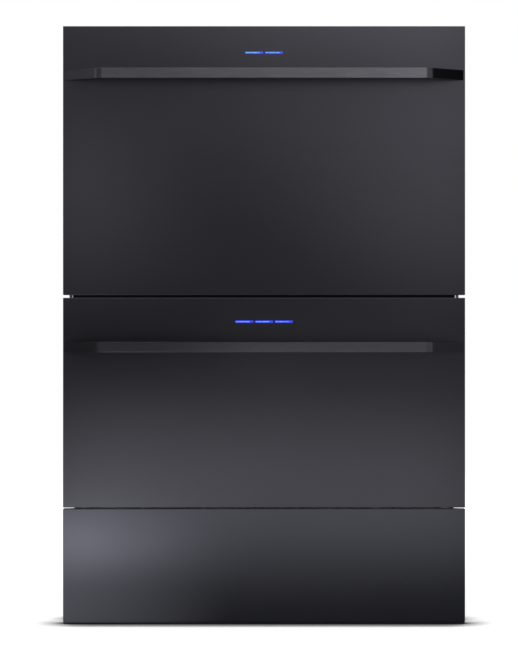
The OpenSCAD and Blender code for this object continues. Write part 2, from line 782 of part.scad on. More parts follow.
// The drain pump hangs beside the pump housing, with its inlet pipe between the two
module drain_pump(d) {
    z = under_z(d) - drain_r - drain_drop;
    color(grey_plastic)
        translate([drain_x, tub_mid_y, 0]) {
            translate([0, 0, z]) rotate([0, -90, 0]) cylinder(r = drain_r, h = drain_l);
            translate([-drain_l, 0, z]) rotate([0, -90, 0]) cylinder(r = drain_r - 8, h = 22);
            translate([-drain_l + 10, -8, z]) cube([drain_l - 20, 16, drain_r + drain_drop]);
            translate([-2, 0, under_z(d) - pump_h / 2])
                rotate([0, 90, 0]) cylinder(r = outlet_r, h = -drain_x - pump_r + 2 - fit);
            translate([-drain_l / 2, 0, z]) rotate([-90, 0, 0]) cylinder(r = outlet_r, h = drain_r + 26);
        }
}

arm_lift = 20;              // height of the spray arm above the tub's floor
hub_rise = 2;               // how far the arm's hub stands above its blades
cap_t = 5;                  // thickness of the cap that holds the arm on its post
arm_points = 24;
arm_tip_w = 20;
arm_curve = 26;             // how far the blades bow sideways
// Half width and sideways sweep of the arm at a share t of its reach
function arm_half(t) = (arm_w / 2) * (1 - t) + (arm_tip_w / 2) * t;
function arm_sweep(t) = arm_curve * sin(180 * t * 0.85);
module arm_blade() {
    tip = arm_reach - arm_tip_w / 2;
    upper_edge = [for (k = [0 : arm_points]) let (t = k / arm_points)
        [t * tip, arm_sweep(t) + arm_half(t)]];
    lower_edge = [for (k = [arm_points : -1 : 0]) let (t = k / arm_points)
        [t * tip, arm_sweep(t) - arm_half(t)]];
    polygon(concat(upper_edge, lower_edge));
    translate([tip, arm_sweep(1)]) circle(d = arm_tip_w);
}
module spray_arm(d) {
    z0 = floor_z(d) + arm_lift;
    color(grey_plastic)
        translate([0, tub_mid_y, z0])
            difference() {
                union() {
                    for (a = [0, 180])
                        rotate([0, 0, a]) {
                            linear_extrude(arm_h) arm_blade();
                            for (t = [0.3 : 0.14 : 0.95])
                                translate([t * arm_reach, arm_sweep(t), arm_h - eps])
                                    cylinder(r = 4, h = 1.5);
                        }
                    cylinder(r = arm_w / 2 + 6, h = arm_h + hub_rise);
                }
                translate([0, 0, -1]) cylinder(r = post_r + fit, h = arm_h + 4);
                for (a = [0, 180])
                    rotate([0, 0, a])
                        for (t = [0.3 : 0.14 : 0.95])
                            translate([t * arm_reach, arm_sweep(t), arm_h - 3])
                                cylinder(r = 1.6, h = 6);
            }
}

dispenser_w = 132;
dispenser_h = 78;
dispenser_t = 11;
cup_size = 44;
cup_depth = 8;
cup_x = -34;
slide_t = 3;
slide_margin = 5;
slide_travel = cup_size + 8;
function dispenser_z(d) = rim_z(d) - 18 - dispenser_h / 2;
dispenser_y = tub_y + tub_wall;
// Detergent cup and rinse-aid cap on the front wall inside the tub
module dispenser(d) {
    color(grey_plastic)
        difference() {
            union() {
                upright_plate(dispenser_y, dispenser_t)
                    translate([0, dispenser_z(d)]) round_rect(dispenser_w, dispenser_h, 8);
                // rails above and below the sliding cover
                for (z = [-1, 1])
                    box(-dispenser_w / 2 + 4, dispenser_w / 2 - 8,
                        dispenser_y + dispenser_t - eps, dispenser_y + dispenser_t + slide_t,
                        dispenser_z(d) + z * (cup_size / 2 + slide_margin + fit + 1.5) - 1.5,
                        dispenser_z(d) + z * (cup_size / 2 + slide_margin + fit + 1.5) + 1.5);
            }
            upright_plate(dispenser_y + dispenser_t - cup_depth, cup_depth + 1)
                translate([cup_x, dispenser_z(d)]) round_rect(cup_size, cup_size, 6);
            translate([cup_x + slide_travel + 4, dispenser_y + dispenser_t - 2, dispenser_z(d)])
                rotate([-90, 0, 0])
                    difference() {
                        cylinder(r = 15, h = 4);
                        translate([0, 0, -1]) cylinder(r = 13, h = 6);
                    }
        }
}
module dispenser_slide(d) {
    half = cup_size / 2 + slide_margin;
    y0 = dispenser_y + dispenser_t + fit;
    color(white_plastic)
        difference() {
            upright_plate(y0, slide_t - fit)
                translate([cup_x, dispenser_z(d)]) square([2 * half - 4, 2 * half], center = true);
            for (k = [-2 : 2])
                box(cup_x - half + 8 + k, cup_x - half + 9 + k, y0 + slide_t - fit - 0.6, y0 + slide_t,
                    dispenser_z(d) - 12 + abs(k), dispenser_z(d) + 12 - abs(k));
        }
}

// Wires are eight-sided rods with a flat on top, so that one wire can stand on another
module rod_x(x0, x1, y, z, dia = wire_d) {
    translate([x0, y, z]) rotate([0, 90, 0]) rotate([0, 0, 22.5])
        cylinder(d = dia / cos(22.5), h = x1 - x0, $fn = 8);
}
module rod_y(x, y0, y1, z, dia = wire_d) {
    translate([x, y0, z]) rotate([-90, 0, 0]) rotate([0, 0, 22.5])
        cylinder(d = dia / cos(22.5), h = y1 - y0, $fn = 8);
}
module rod_z(x, y, z0, z1, dia = wire_d) {
    translate([x, y, z0]) rotate([0, 0, 22.5])
        cylinder(d = dia / cos(22.5), h = z1 - z0, $fn = 8);
}

rack_x = tub_w / 2 - tub_wall - rack_side_gap - wire_d / 2;
rack_y0 = tub_y + tub_wall + rack_end_gap + wire_d / 2;
rack_y1 = tub_y + tub_d - tub_wall - rack_end_gap - wire_d / 2;
rack_d = rack_y1 - rack_y0;
function rack_z(d) = ledge_z(d) + fit + wire_d / 2;      // middle of the rack's lowest wires
weld = 0.4;                                              // how far crossing wires bite at a weld
function cross_z(d) = rack_z(d) + wire_d - weld;         // middle of the cross wires above them
joint_gap = 0.05;                                        // between the grids at their welds
function post_z(d) = rack_z(d) + wire_d / 2 + joint_gap; // foot of the upright wires
long_wires = 10;
cross_wires = 8;
function long_x(k) = -rack_x + 2 * rack_x * k / long_wires;
function cross_y(k) = rack_y0 + rack_d * k / cross_wires;

// Welded wire rack: a floor grid and four upright grids, whose posts stand over the floor's wires
module rack(d) {
    z_top = rack_z(d) + rack_h(d);
    z_mid = rack_z(d) + rack_h(d) * 0.5;
    inner = wire_d / 2 + joint_gap;
    color(coated_wire) {
        for (k = [0 : long_wires])
            rod_y(long_x(k), rack_y0, rack_y1, rack_z(d));
        for (y = [rack_y0, rack_y1])
            rod_x(-rack_x - wire_d / 2, rack_x + wire_d / 2, y, rack_z(d));
        for (k = [1 : cross_wires - 1])
            rod_x(-rack_x + inner, rack_x - inner, cross_y(k), cross_z(d));
        both_sides() {
            for (k = [1 : cross_wires - 1])
                rod_z(rack_x, cross_y(k), post_z(d), z_top);
            for (z = [z_mid, z_top])
                rod_y(rack_x, rack_y0 + inner, rack_y1 - inner, z);
        }
        for (y = [rack_y0, rack_y1]) {
            for (k = [0 : long_wires])
                rod_z(long_x(k), y, post_z(d), z_top);
            for (z = [z_mid, z_top])
                rod_x(-rack_x - wire_d / 2, rack_x + wire_d / 2, y, z);
        }
    }
}

upper_rows = [-0.62, -0.27, 0.42];    // places of the fixed rows, as shares of the rack's half width
lower_rows = [-0.55, -0.2, 0.5];
row_margin = 20;                      // distance from the rack's end to a row's foot wire
tine_count = 11;
function tine_y(k) = rack_y0 + rack_d * (k + 0.5) / tine_count;
function tine_z(d) = cross_z(d) + wire_d / 2 + joint_gap;     // foot of the rows, on the cross wires
// Fixed rows of tines, each on its own foot wire that lies across the rack's floor
module tines(d, rows, y0) {
    color(coated_wire)
        for (r = rows) {
            rod_y(r * rack_x, y0, rack_y1 - row_margin, tine_z(d) + tine_d / 2, tine_d);
            for (k = [0 : tine_count - 1])
                if (tine_y(k) > y0 + tine_d && tine_y(k) < rack_y1 - row_margin - tine_d)
                    rod_z(r * rack_x, tine_y(k), tine_z(d) + tine_d / 2, tine_z(d) + tine_h(d), tine_d);
        }
}

fold_row = 0.08;            // place of the folding row, as a share of the rack's half width
fold_gap = 2;               // height of the folding row's foot wire above the cross wires
turn_fit = 0.15;            // clearance of a wire that turns in a clip
clip_l = 7;
clip_w = tine_d + 5;
function fold_z(d) = tine_z(d) + fold_gap + tine_d / 2;
fold_y0 = rack_y0 + 30;
fold_y1 = rack_y1 - 30;
// A row of tines that turns on its round foot wire and lies down flat
module folding_tines(d) {
    color(coated_wire) {
        translate([fold_row * rack_x, fold_y0, fold_z(d)])
            rotate([-90, 0, 0]) cylinder(d = tine_d, h = fold_y1 - fold_y0);
        for (k = [1 : tine_count - 2])
            rod_z(fold_row * rack_x, tine_y(k), fold_z(d), fold_z(d) + tine_h(d), tine_d);
    }
}
// Clips that straddle the rack's cross wires and hold the foot wire, between two tines
module fold_clips(d) {
    for (k = [2, cross_wires - 2])
        translate([fold_row * rack_x, cross_y(k), 0])
            difference() {
                translate([-clip_w / 2, -clip_l / 2, cross_z(d)])
                    cube([clip_w, clip_l, fold_z(d) + clip_w / 2 - cross_z(d)]);
                translate([0, -clip_l, fold_z(d)])
                    rotate([-90, 0, 0]) cylinder(r = tine_d / 2 + turn_fit, h = 2 * clip_l);
                rod_x(-clip_w, clip_w, 0, cross_z(d), wire_d + 2 * joint_gap);
            }
}

shelf_w = 88;
shelf_l = 300;
shelf_y0 = tub_mid_y - shelf_l / 2;
shelf_y1 = tub_mid_y + shelf_l / 2;
shelf_wires = 8;
shelf_pitch = (shelf_y1 - shelf_y0) / shelf_wires;
function shelf_z(d) = rack_z(d) + rack_h(d) * 0.5;
shelf_x = rack_x - wire_d / 2 - clip_w / 2 - 0.5;
// Cup shelf: a flat wire grid that turns up about its outer wire
module cup_shelf(d) {
    color(coated_wire) {
        translate([shelf_x, shelf_y0 - tine_d / 2, shelf_z(d)])
            rotate([-90, 0, 0]) cylinder(d = tine_d, h = shelf_y1 - shelf_y0 + tine_d);
        for (x = [0.5, 1])
            rod_y(shelf_x - x * shelf_w, shelf_y0 - tine_d / 2, shelf_y1 + tine_d / 2, shelf_z(d), tine_d);
        for (k = [0 : shelf_wires])
            rod_x(shelf_x - shelf_w, shelf_x, shelf_y0 + k * shelf_pitch, shelf_z(d), tine_d);
    }
}
// Clips that straddle a wire of the rack's side and hold the shelf's outer wire
module shelf_clips(d) {
    for (k = [1.5, shelf_wires - 1.5])
        translate([shelf_x, shelf_y0 + k * shelf_pitch, shelf_z(d)])
            difference() {
                translate([-clip_w / 2, -clip_l / 2, -clip_w / 2])
                    cube([rack_x - shelf_x + clip_w / 2, clip_l, clip_w]);
                translate([0, -clip_l, 0])
                    rotate([-90, 0, 0]) cylinder(r = tine_d / 2 + turn_fit, h = 2 * clip_l);
                rod_y(rack_x - shelf_x, -clip_l, clip_l, 0, wire_d + 2 * joint_gap);
            }
}

basket_l = 230;
basket_w = 84;
basket_h = 112;
basket_t = 2;
basket_x = -rack_x + wire_d / 2 + 6;
basket_y = rack_y0 + wire_d / 2 + 6;
// Front end of a fixed row in the upper rack, behind the basket where the two would meet
function upper_row_y(r) =
    r * rack_x < basket_x + basket_l + tine_d ? basket_y + basket_w + 6 : rack_y0 + row_margin;
basket_wall_h = 92;         // height of the basket's walls, below its handle
basket_handle_w = 60;
basket_slots = 9;
basket_slot_w = 8;
basket_slot_h = 30;
basket_margin = 12;         // between the slots and the edges of the walls
grip_w = 44;                // hole for the fingers in the handle
grip_h = 11;
// Cutlery basket in the front left corner of the upper rack: slotted walls, and a partition that
// rises to a handle with a hole for the fingers
module cutlery_basket(d) {
    z0 = cross_z(d) + wire_d / 2 + fit;
    pitch = (basket_l - 2 * basket_margin - basket_slot_w) / basket_slots;
    step = basket_slot_h + basket_margin - 2 * basket_t;
    color(grey_plastic)
        translate([basket_x, basket_y, z0]) {
            difference() {
                cube([basket_l, basket_w, basket_wall_h]);
                for (x = [0, 1])
                    translate([basket_t + x * (basket_l - basket_t) / 2, basket_t, basket_t])
                        cube([(basket_l - 3 * basket_t) / 2, basket_w - 2 * basket_t, basket_h]);
                for (k = [0 : basket_slots], j = [0, 1])
                    translate([basket_margin + k * pitch, -1, basket_margin + j * step])
                        cube([basket_slot_w, basket_w + 2, basket_slot_h]);
            }
            translate([(basket_l - basket_t) / 2, basket_w / 2, 0])
                rotate([90, 0, 90])
                    linear_extrude(basket_t)
                        difference() {
                            translate([0, basket_h - basket_wall_h / 2])
                                round_rect(basket_handle_w, basket_wall_h, 9);
                            translate([0, basket_h - grip_h])
                                round_rect(grip_w, grip_h, grip_h / 2 - 0.1);
                        }
        }
}

control_x = 40;             // left side of the control box
control_y = cab_y + 70;
control_z = base_top - 14;  // its top
control_w = 180;
control_d = 120;
control_h = 44;
seam_w = 6;                 // how far the seam between its halves stands out
seam_h = 4;
socket_w = 20;
sockets = 4;
// Control box with a seam between its halves and a row of sockets at its back
module control_box() {
    pitch = control_w / (sockets + 1);
    back = control_y + control_d;
    color(dark_plastic) {
        box(control_x, control_x + control_w, control_y, back, control_z - control_h, control_z);
        box(control_x - seam_w, control_x + control_w + seam_w, control_y - seam_w, back + seam_w,
            control_z - 4 * seam_h - seam_h, control_z - 4 * seam_h);
        for (k = [1 : sockets])
            box(control_x + k * pitch - socket_w / 2, control_x + k * pitch + socket_w / 2,
                back, back + seam_w + 2, control_z - control_h + seam_h, control_z - control_h / 2 - seam_w);
    }
}

plate_y = rear_y - 34;
plate_z0 = 62;
plate_clear = 17;           // between the plate and the leg sleeve beside it
plate_side = 30;            // from the plate's side to the first port
port_pitch = 70;
inlet_x = -foot_x + sleeve_d / 2 + plate_clear + plate_side;
drain_out_x = inlet_x + port_pitch;
gland_x = drain_out_x + port_pitch;
port_z = 96;
inlet_r = 13.2;
inlet_l = 14;
drain_out_r = 10;
drain_out_l = 24;
gland_r = 9;
// Plate that hangs under the rear channel and carries the water and power connections
module connection_plate() {
    t = 2 * sheet_t;
    color(zinc)
        difference() {
            union() {
                box(inlet_x - plate_side, gland_x + plate_side, plate_y - t, plate_y,
                    plate_z0, base_top - base_h);
                box(inlet_x - plate_side, gland_x + plate_side, plate_y - t, base_y1,
                    base_top - base_h - t, base_top - base_h);
            }
            for (p = [[inlet_x, inlet_r + 1], [drain_out_x, drain_out_r + 1], [gland_x, gland_r]])
                translate([p[0], plate_y - t - 1, port_z])
                    rotate([-90, 0, 0]) cylinder(r = p[1] + fit, h = t + 2);
        }
}
// Solenoid inlet valve with its threaded nose
module inlet_valve() {
    color(white_plastic)
        translate([inlet_x, plate_y, port_z]) {
            rotate([-90, 0, 0]) cylinder(r = inlet_r + 4, h = 6);
            rotate([-90, 0, 0]) cylinder(r = inlet_r, h = 6 + inlet_l);
            rotate([90, 0, 0]) cylinder(r = inlet_r + 1, h = 34);
            translate([-14, -40, -14]) cube([28, 26, 46]);
        }
}
module drain_outlet() {
    color(grey_plastic)
        translate([drain_out_x, plate_y, port_z]) {
            rotate([-90, 0, 0]) cylinder(r = drain_out_r + 5, h = 4);
            rotate([-90, 0, 0]) cylinder(r = drain_out_r, h = 4 + drain_out_l);
            rotate([90, 0, 0]) cylinder(r = drain_out_r + 1, h = 40);
        }
}
module cable_gland() {
    color(dark_plastic)
        translate([gland_x, plate_y, port_z]) {
            difference() {
                union() {
                    rotate([-90, 0, 0]) cylinder(r = gland_r + 4, h = 8, $fn = 6);
                    rotate([-90, 0, 0]) cylinder(r1 = gland_r + 1, r2 = gland_r - 2, h = 20);
                    rotate([90, 0, 0]) cylinder(r = gland_r, h = 12);
                }
                translate([0, -20, 0]) rotate([-90, 0, 0]) cylinder(r = 4.2, h = 60);
            }
        }
}

mirror([1, 0, 0]) side_wall();  // side_wall_left
side_wall();  // side_wall_right
top_cover();
back_cover();
mid_cross_rail();
base_frame();
leg_sleeves();
drip_tray();
plinth_panel();
plinth_brackets();
for (d = [UPPER, LOWER]) outer_runners(d);
for (d = [UPPER, LOWER]) lid_guides(d);
control_box();
connection_plate();
inlet_valve();
drain_outlet();
cable_gland();
foot(0);  // foot_front_left
foot(1);  // foot_front_right
foot(2);  // foot_back_left
foot(3);  // foot_back_right
middle_runners(UPPER);  // upper_middle_runners
middle_runners(LOWER);  // lower_middle_runners
lid(UPPER);  // upper_lid
lid_seal(UPPER);  // upper_lid_seal
lid(LOWER);  // lower_lid
lid_seal(LOWER);  // lower_lid_seal
front_panel(UPPER);  // upper_front_panel
front_liner(UPPER);  // upper_front_liner
handle(UPPER);  // upper_handle
indicator_lights(UPPER);  // upper_lights
inner_runners(UPPER);  // upper_inner_runners
tub(UPPER);  // upper_tub
wash_pump(UPPER);  // upper_wash_pump
drain_pump(UPPER);  // upper_drain_pump
filter_well(UPPER);  // upper_filter_well
filter_cup(UPPER);  // upper_filter
dispenser(UPPER);  // upper_dispenser
dispenser_slide(UPPER);  // upper_dispenser_slide
union() {  // upper_rack
    rack(UPPER);
    color(coated_wire) fold_clips(UPPER);
    color(coated_wire) shelf_clips(UPPER);
}
for (r = upper_rows) tines(UPPER, [r], upper_row_y(r));  // upper_tines
folding_tines(UPPER);  // upper_folding_tines
cup_shelf(UPPER);  // upper_cup_shelf
cutlery_basket(UPPER);
spray_arm(UPPER);  // upper_spray_arm
front_panel(LOWER);  // lower_front_panel
front_liner(LOWER);  // lower_front_liner
handle(LOWER);  // lower_handle
indicator_lights(LOWER);  // lower_lights
inner_runners(LOWER);  // lower_inner_runners
tub(LOWER);  // lower_tub
wash_pump(LOWER);  // lower_wash_pump
drain_pump(LOWER);  // lower_drain_pump
filter_well(LOWER);  // lower_filter_well
filter_cup(LOWER);  // lower_filter
dispenser(LOWER);  // lower_dispenser
dispenser_slide(LOWER);  // lower_dispenser_slide
union() {  // lower_rack
    rack(LOWER);
    color(coated_wire) fold_clips(LOWER);
    tines(LOWER, lower_rows, rack_y0 + row_margin);
}
folding_tines(LOWER);  // lower_folding_tines
spray_arm(LOWER);  // lower_spray_arm
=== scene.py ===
# %% [markdown]
# # A dishwasher with two drawers
#
# This lesson dresses a measured model of a built-in dishwasher: two pull-out wash drawers, one
# tall and one short, above a fixed plinth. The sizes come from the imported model, which is loaded
# first and never moved. Everything that is modelled here is placed by those sizes, in metres.

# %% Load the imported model
import json
import math
from collections import namedtuple

import bmesh
import bpy
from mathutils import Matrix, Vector


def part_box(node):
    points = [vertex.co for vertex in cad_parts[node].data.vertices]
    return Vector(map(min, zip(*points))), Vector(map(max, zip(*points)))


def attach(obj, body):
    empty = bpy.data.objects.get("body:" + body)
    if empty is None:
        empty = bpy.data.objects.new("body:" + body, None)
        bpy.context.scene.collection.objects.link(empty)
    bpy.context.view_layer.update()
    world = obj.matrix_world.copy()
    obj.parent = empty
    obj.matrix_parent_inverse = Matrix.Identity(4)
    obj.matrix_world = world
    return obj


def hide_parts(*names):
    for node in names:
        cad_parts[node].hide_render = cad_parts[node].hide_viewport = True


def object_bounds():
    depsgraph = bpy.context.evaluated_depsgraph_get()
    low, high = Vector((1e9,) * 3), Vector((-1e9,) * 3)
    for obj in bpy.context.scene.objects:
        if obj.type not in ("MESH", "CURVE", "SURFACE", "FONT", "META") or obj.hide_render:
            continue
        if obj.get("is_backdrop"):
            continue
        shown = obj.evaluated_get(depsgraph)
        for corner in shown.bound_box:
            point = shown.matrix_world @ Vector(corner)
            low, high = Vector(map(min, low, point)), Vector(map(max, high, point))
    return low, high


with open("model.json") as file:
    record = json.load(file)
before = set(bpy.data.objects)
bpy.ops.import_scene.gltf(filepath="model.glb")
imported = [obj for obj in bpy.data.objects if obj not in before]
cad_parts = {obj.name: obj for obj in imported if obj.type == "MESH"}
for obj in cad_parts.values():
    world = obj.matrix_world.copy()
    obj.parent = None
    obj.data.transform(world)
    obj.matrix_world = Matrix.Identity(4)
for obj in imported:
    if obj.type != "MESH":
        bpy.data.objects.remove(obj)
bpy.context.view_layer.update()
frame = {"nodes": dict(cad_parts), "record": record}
nodes = frame["nodes"]

# %% [markdown]
# ## The camera
#
# The photograph was taken from straight in front, at half the height of the appliance, from
# almost four metres away with a long lens. The sides are hidden, so the sides of the picture stay
# parallel. The camera stands a few millimetres to the left, which puts the appliance just right
# of the middle.

# %% Camera
front_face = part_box("upper_front_panel")[0].y
camera_x, camera_distance, camera_height = -0.0075, 3.85, 0.4445
camera_place = (camera_x, front_face - camera_distance, camera_height)
bpy.ops.object.camera_add(location=camera_place, rotation=(math.pi / 2, 0, 0))
camera = bpy.context.object
camera.data.sensor_width = 36
camera.data.lens = 143.4
camera.data.clip_end = 50
bpy.context.scene.camera = camera
bpy.context.scene.view_settings.view_transform = "Standard"
print("camera stands", round(front_face - camera.location.y, 2), "m in front of the doors")

# %% [markdown]
# ## Helpers for modelling
#
# An operator works on whatever is selected, so each helper begins by letting go of everything. A
# block is a cube added at its place and stretched to its size, with the stretch applied, so that
# the finished piece lies at the world's origin and has its place in its mesh.


# %% Selecting, adding and finishing
def let_go():
    if bpy.context.object and bpy.context.object.mode != "OBJECT":
        bpy.ops.object.mode_set(mode="OBJECT")
    bpy.ops.object.select_all(action="DESELECT")


def make_active(piece):
    let_go()
    piece.select_set(True)
    bpy.context.view_layer.objects.active = piece


def settle(piece, name):
    make_active(piece)
    bpy.ops.object.transform_apply(location=True, rotation=True, scale=True)
    piece.name = name
    return piece


def halfway(low, high):
    return [(a + b) / 2 for a, b in zip(low, high)]


def add_block(name, low, high):
    let_go()
    bpy.ops.mesh.primitive_cube_add(size=1, location=halfway(low, high))
    block = bpy.context.object
    block.scale = [b - a for a, b in zip(low, high)]
    return settle(block, name)


def pick(piece, kind, test):
    make_active(piece)
    bpy.ops.object.mode_set(mode="EDIT")
    bpy.ops.mesh.select_mode(type=kind)
    bpy.ops.mesh.select_all(action="DESELECT")
    shape = bmesh.from_edit_mesh(piece.data)
    items = {"FACE": shape.faces, "EDGE": shape.edges, "VERT": shape.verts}[kind]
    for item in items:
        if test(item):
            item.select_set(True)
    bmesh.update_edit_mesh(piece.data)


def done_editing():
    bpy.ops.object.mode_set(mode="OBJECT")


def bevel_where(piece, kind, test, radius, segments):
    pick(piece, kind, test)
    bpy.ops.mesh.bevel(offset=radius, segments=segments, affect="EDGES")
    done_editing()
    return piece


def extrude(step):
    bpy.ops.mesh.extrude_region_move(TRANSFORM_OT_translate={"value": step})


def merge_close(piece, distance):
    pick(piece, "VERT", lambda corner: True)
    bpy.ops.mesh.remove_doubles(threshold=distance)


def turn_outwards(piece):
    pick(piece, "FACE", lambda face: True)
    bpy.ops.mesh.normals_make_consistent(inside=False)
    done_editing()


def modify(piece, kind, **settings):
    make_active(piece)
    modifier = piece.modifiers.new(kind.title(), kind)
    for name, value in settings.items():
        setattr(modifier, name, value)
    bpy.ops.object.modifier_apply(modifier=modifier.name)
    return piece


def join(name, pieces):
    make_active(pieces[0])
    for piece in pieces:
        piece.select_set(True)
    bpy.ops.object.join()
    pieces[0].name = name
    return pieces[0]


def copy_of(piece, shift):
    make_active(piece)
    bpy.ops.object.duplicate()
    twin = bpy.context.object
    bpy.ops.transform.translate(value=shift)
    return settle(twin, piece.name + "_copy")


def smooth(piece, degrees=35):
    make_active(piece)
    bpy.ops.object.shade_smooth_by_angle(angle=math.radians(degrees))
    return piece


def keep_flat(piece, degrees=30):
    smooth(piece, degrees)
    return modify(piece, "WEIGHTED_NORMAL", keep_sharp=True)


def soften(piece, width, degrees):
    return modify(piece, "BEVEL", width=width, segments=2, limit_method="ANGLE",
                  angle_limit=math.radians(degrees))


# %% [markdown]
# ## Helpers for materials
#
# Each finish is one Principled shader. What varies over a surface, such as grain, spangle or a
# moulded texture, comes from noise on object coordinates, and what is the same everywhere is set
# straight on the shader. A pattern changes the colour and the roughness a little, and bump
# changes the light on it.


# %% Material helpers
def set_inputs(node, **values):
    for name, value in values.items():
        node.inputs[name.replace("_", " ")].default_value = value
    return node


def new_finish(name, colour, roughness, metallic=0.0):
    finish = bpy.data.materials.new(name)
    finish.use_nodes = True
    set_inputs(finish.node_tree.nodes["Principled BSDF"], Base_Color=(*colour, 1),
               Roughness=roughness, Metallic=metallic)
    return finish


def parts_of(finish):
    tree = finish.node_tree
    return tree.nodes, tree.links, tree.nodes["Principled BSDF"]


def place_pattern(finish, stretch=(1, 1, 1)):
    made, links, _ = parts_of(finish)
    where = made.new("ShaderNodeTexCoord")
    mapping = set_inputs(made.new("ShaderNodeMapping"), Scale=stretch)
    links.new(where.outputs["Object"], mapping.inputs["Vector"])
    return mapping.outputs["Vector"]


def add_noise(finish, scale, detail=2.0, stretch=(1, 1, 1)):
    made, links, _ = parts_of(finish)
    noise = set_inputs(made.new("ShaderNodeTexNoise"), Scale=scale, Detail=detail)
    links.new(place_pattern(finish, stretch), noise.inputs["Vector"])
    return noise.outputs["Fac"]


def two_tones(finish, pattern, dark, light, low, high):
    made, links, _ = parts_of(finish)
    ramp = made.new("ShaderNodeValToRGB")
    for stop, place, tone in zip(ramp.color_ramp.elements, (low, high), (dark, light)):
        stop.position = place
        stop.color = (*tone, 1)
    links.new(pattern, ramp.inputs["Fac"])
    return ramp.outputs["Color"]


def vary_colour(finish, pattern, dark, light, low=0.3, high=0.7):
    _, links, shader = parts_of(finish)
    links.new(two_tones(finish, pattern, dark, light, low, high), shader.inputs["Base Color"])


def vary_roughness(finish, pattern, low, high):
    made, links, shader = parts_of(finish)
    spread = set_inputs(made.new("ShaderNodeMapRange"), To_Min=low, To_Max=high)
    links.new(pattern, spread.inputs["Value"])
    links.new(spread.outputs["Result"], shader.inputs["Roughness"])


def add_bump(finish, pattern, height, strength):
    made, links, shader = parts_of(finish)
    bump = set_inputs(made.new("ShaderNodeBump"), Strength=strength, Distance=height)
    links.new(pattern, bump.inputs["Height"])
    links.new(bump.outputs["Normal"], shader.inputs["Normal"])


def changed(colour, share):
    return [min(1, channel * (1 + share)) for channel in colour]


# %% [markdown]
# ## The finish of the fronts
#
# The fronts are coated steel in a satin anthracite, with a metallic grain so fine that it only
# breaks up the reflections. The same coat is on the plinth. The handles have a slightly lighter
# coat with a faint brushed direction along the bar.

# %% Anthracite finishes
flake_scale, patch_scale = 1400, 9
flake_height = 0.00002
roughness_drift = 0.03


def metal_coat(name, colour, roughness, grain_depth):
    coat = new_finish(name, colour, roughness, 0.97)
    flakes = add_noise(coat, flake_scale, 3)
    vary_colour(coat, flakes, changed(colour, -grain_depth), changed(colour, grain_depth))
    patches = add_noise(coat, patch_scale)
    vary_roughness(coat, patches, roughness - roughness_drift, roughness + roughness_drift)
    add_bump(coat, flakes, flake_height, 0.35)
    return coat


anthracite = metal_coat("anthracite_coat", (0.0612, 0.06, 0.0712), 0.29, 0.22)
plinth_coat = metal_coat("plinth_coat", (0.0565, 0.0575, 0.069), 0.24, 0.3)

handle_coat = new_finish("handle_coat", (0.15, 0.147, 0.167), 0.26, 1.0)
brushed = add_noise(handle_coat, 900, stretch=(0.03, 1, 1))
vary_colour(handle_coat, brushed, (0.13, 0.127, 0.145), (0.17, 0.167, 0.189))
add_bump(handle_coat, brushed, flake_height, 0.3)
print("front finishes:", anthracite.name, plinth_coat.name, handle_coat.name)

# %% [markdown]
# ## The finishes behind the fronts
#
# The cabinet is galvanised sheet, whose zinc grows in pale and dark crystals. The moulded pieces
# are grey, white and black plastics with a fine texture, the racks are wire in a pale nylon coat,
# and the seals are matt rubber.

# %% Metal finishes
galvanised = new_finish("galvanised_sheet", (0.5, 0.51, 0.53), 0.42, 1.0)
made, links, _ = parts_of(galvanised)
spangle = set_inputs(made.new("ShaderNodeTexVoronoi"), Scale=130)
links.new(place_pattern(galvanised), spangle.inputs["Vector"])
to_grey = made.new("ShaderNodeSeparateColor")
links.new(spangle.outputs["Color"], to_grey.inputs["Color"])
vary_colour(galvanised, to_grey.outputs["Red"], (0.47, 0.48, 0.5), (0.56, 0.57, 0.58), 0.0, 1.0)
vary_roughness(galvanised, to_grey.outputs["Green"], 0.35, 0.46)
add_bump(galvanised, add_noise(galvanised, 300, 3), 0.00005, 0.3)

runner_zinc = new_finish("bright_zinc", (0.62, 0.63, 0.65), 0.28, 1.0)
drawn = add_noise(runner_zinc, 500, 3, (1, 0.05, 1))
vary_colour(runner_zinc, drawn, (0.52, 0.53, 0.55), (0.68, 0.69, 0.71))
add_bump(runner_zinc, drawn, 0.00003, 0.3)
print("metal finishes:", galvanised.name, runner_zinc.name)


# %% Plastic and rubber finishes
def moulded(name, colour, roughness, grain_scale=900, grain_height=0.00004):
    finish = new_finish(name, colour, roughness)
    texture = add_noise(finish, grain_scale)
    clouds = add_noise(finish, 14, 3)
    vary_colour(finish, clouds, changed(colour, -0.07), changed(colour, 0.06))
    vary_roughness(finish, texture, roughness - 0.05, roughness + 0.07)
    add_bump(finish, texture, grain_height, 0.35)
    return finish


black_plastic = moulded("black_moulding", (0.022, 0.022, 0.024), 0.5)
grey_plastic = moulded("grey_moulding", (0.3, 0.32, 0.35), 0.42)
white_plastic = moulded("white_moulding", (0.72, 0.73, 0.74), 0.4)
tub_plastic = moulded("tub_moulding", (0.36, 0.38, 0.41), 0.3, 500, 0.00003)
wire_coat = moulded("nylon_wire_coat", (0.5, 0.53, 0.57), 0.3, 700, 0.00003)
seal_rubber = moulded("seal_rubber", (0.018, 0.018, 0.019), 0.62, 1200)
plastics = (black_plastic, grey_plastic, white_plastic, tub_plastic, wire_coat, seal_rubber)
print("moulded finishes:", [finish.name for finish in plastics])

# %% [markdown]
# ## Dress the measured nodes
#
# Every node gets its finish first, by the material that the record names for it. Most nodes are
# replaced further down by pieces with rounder edges and finer forms, and those take the same
# finish.

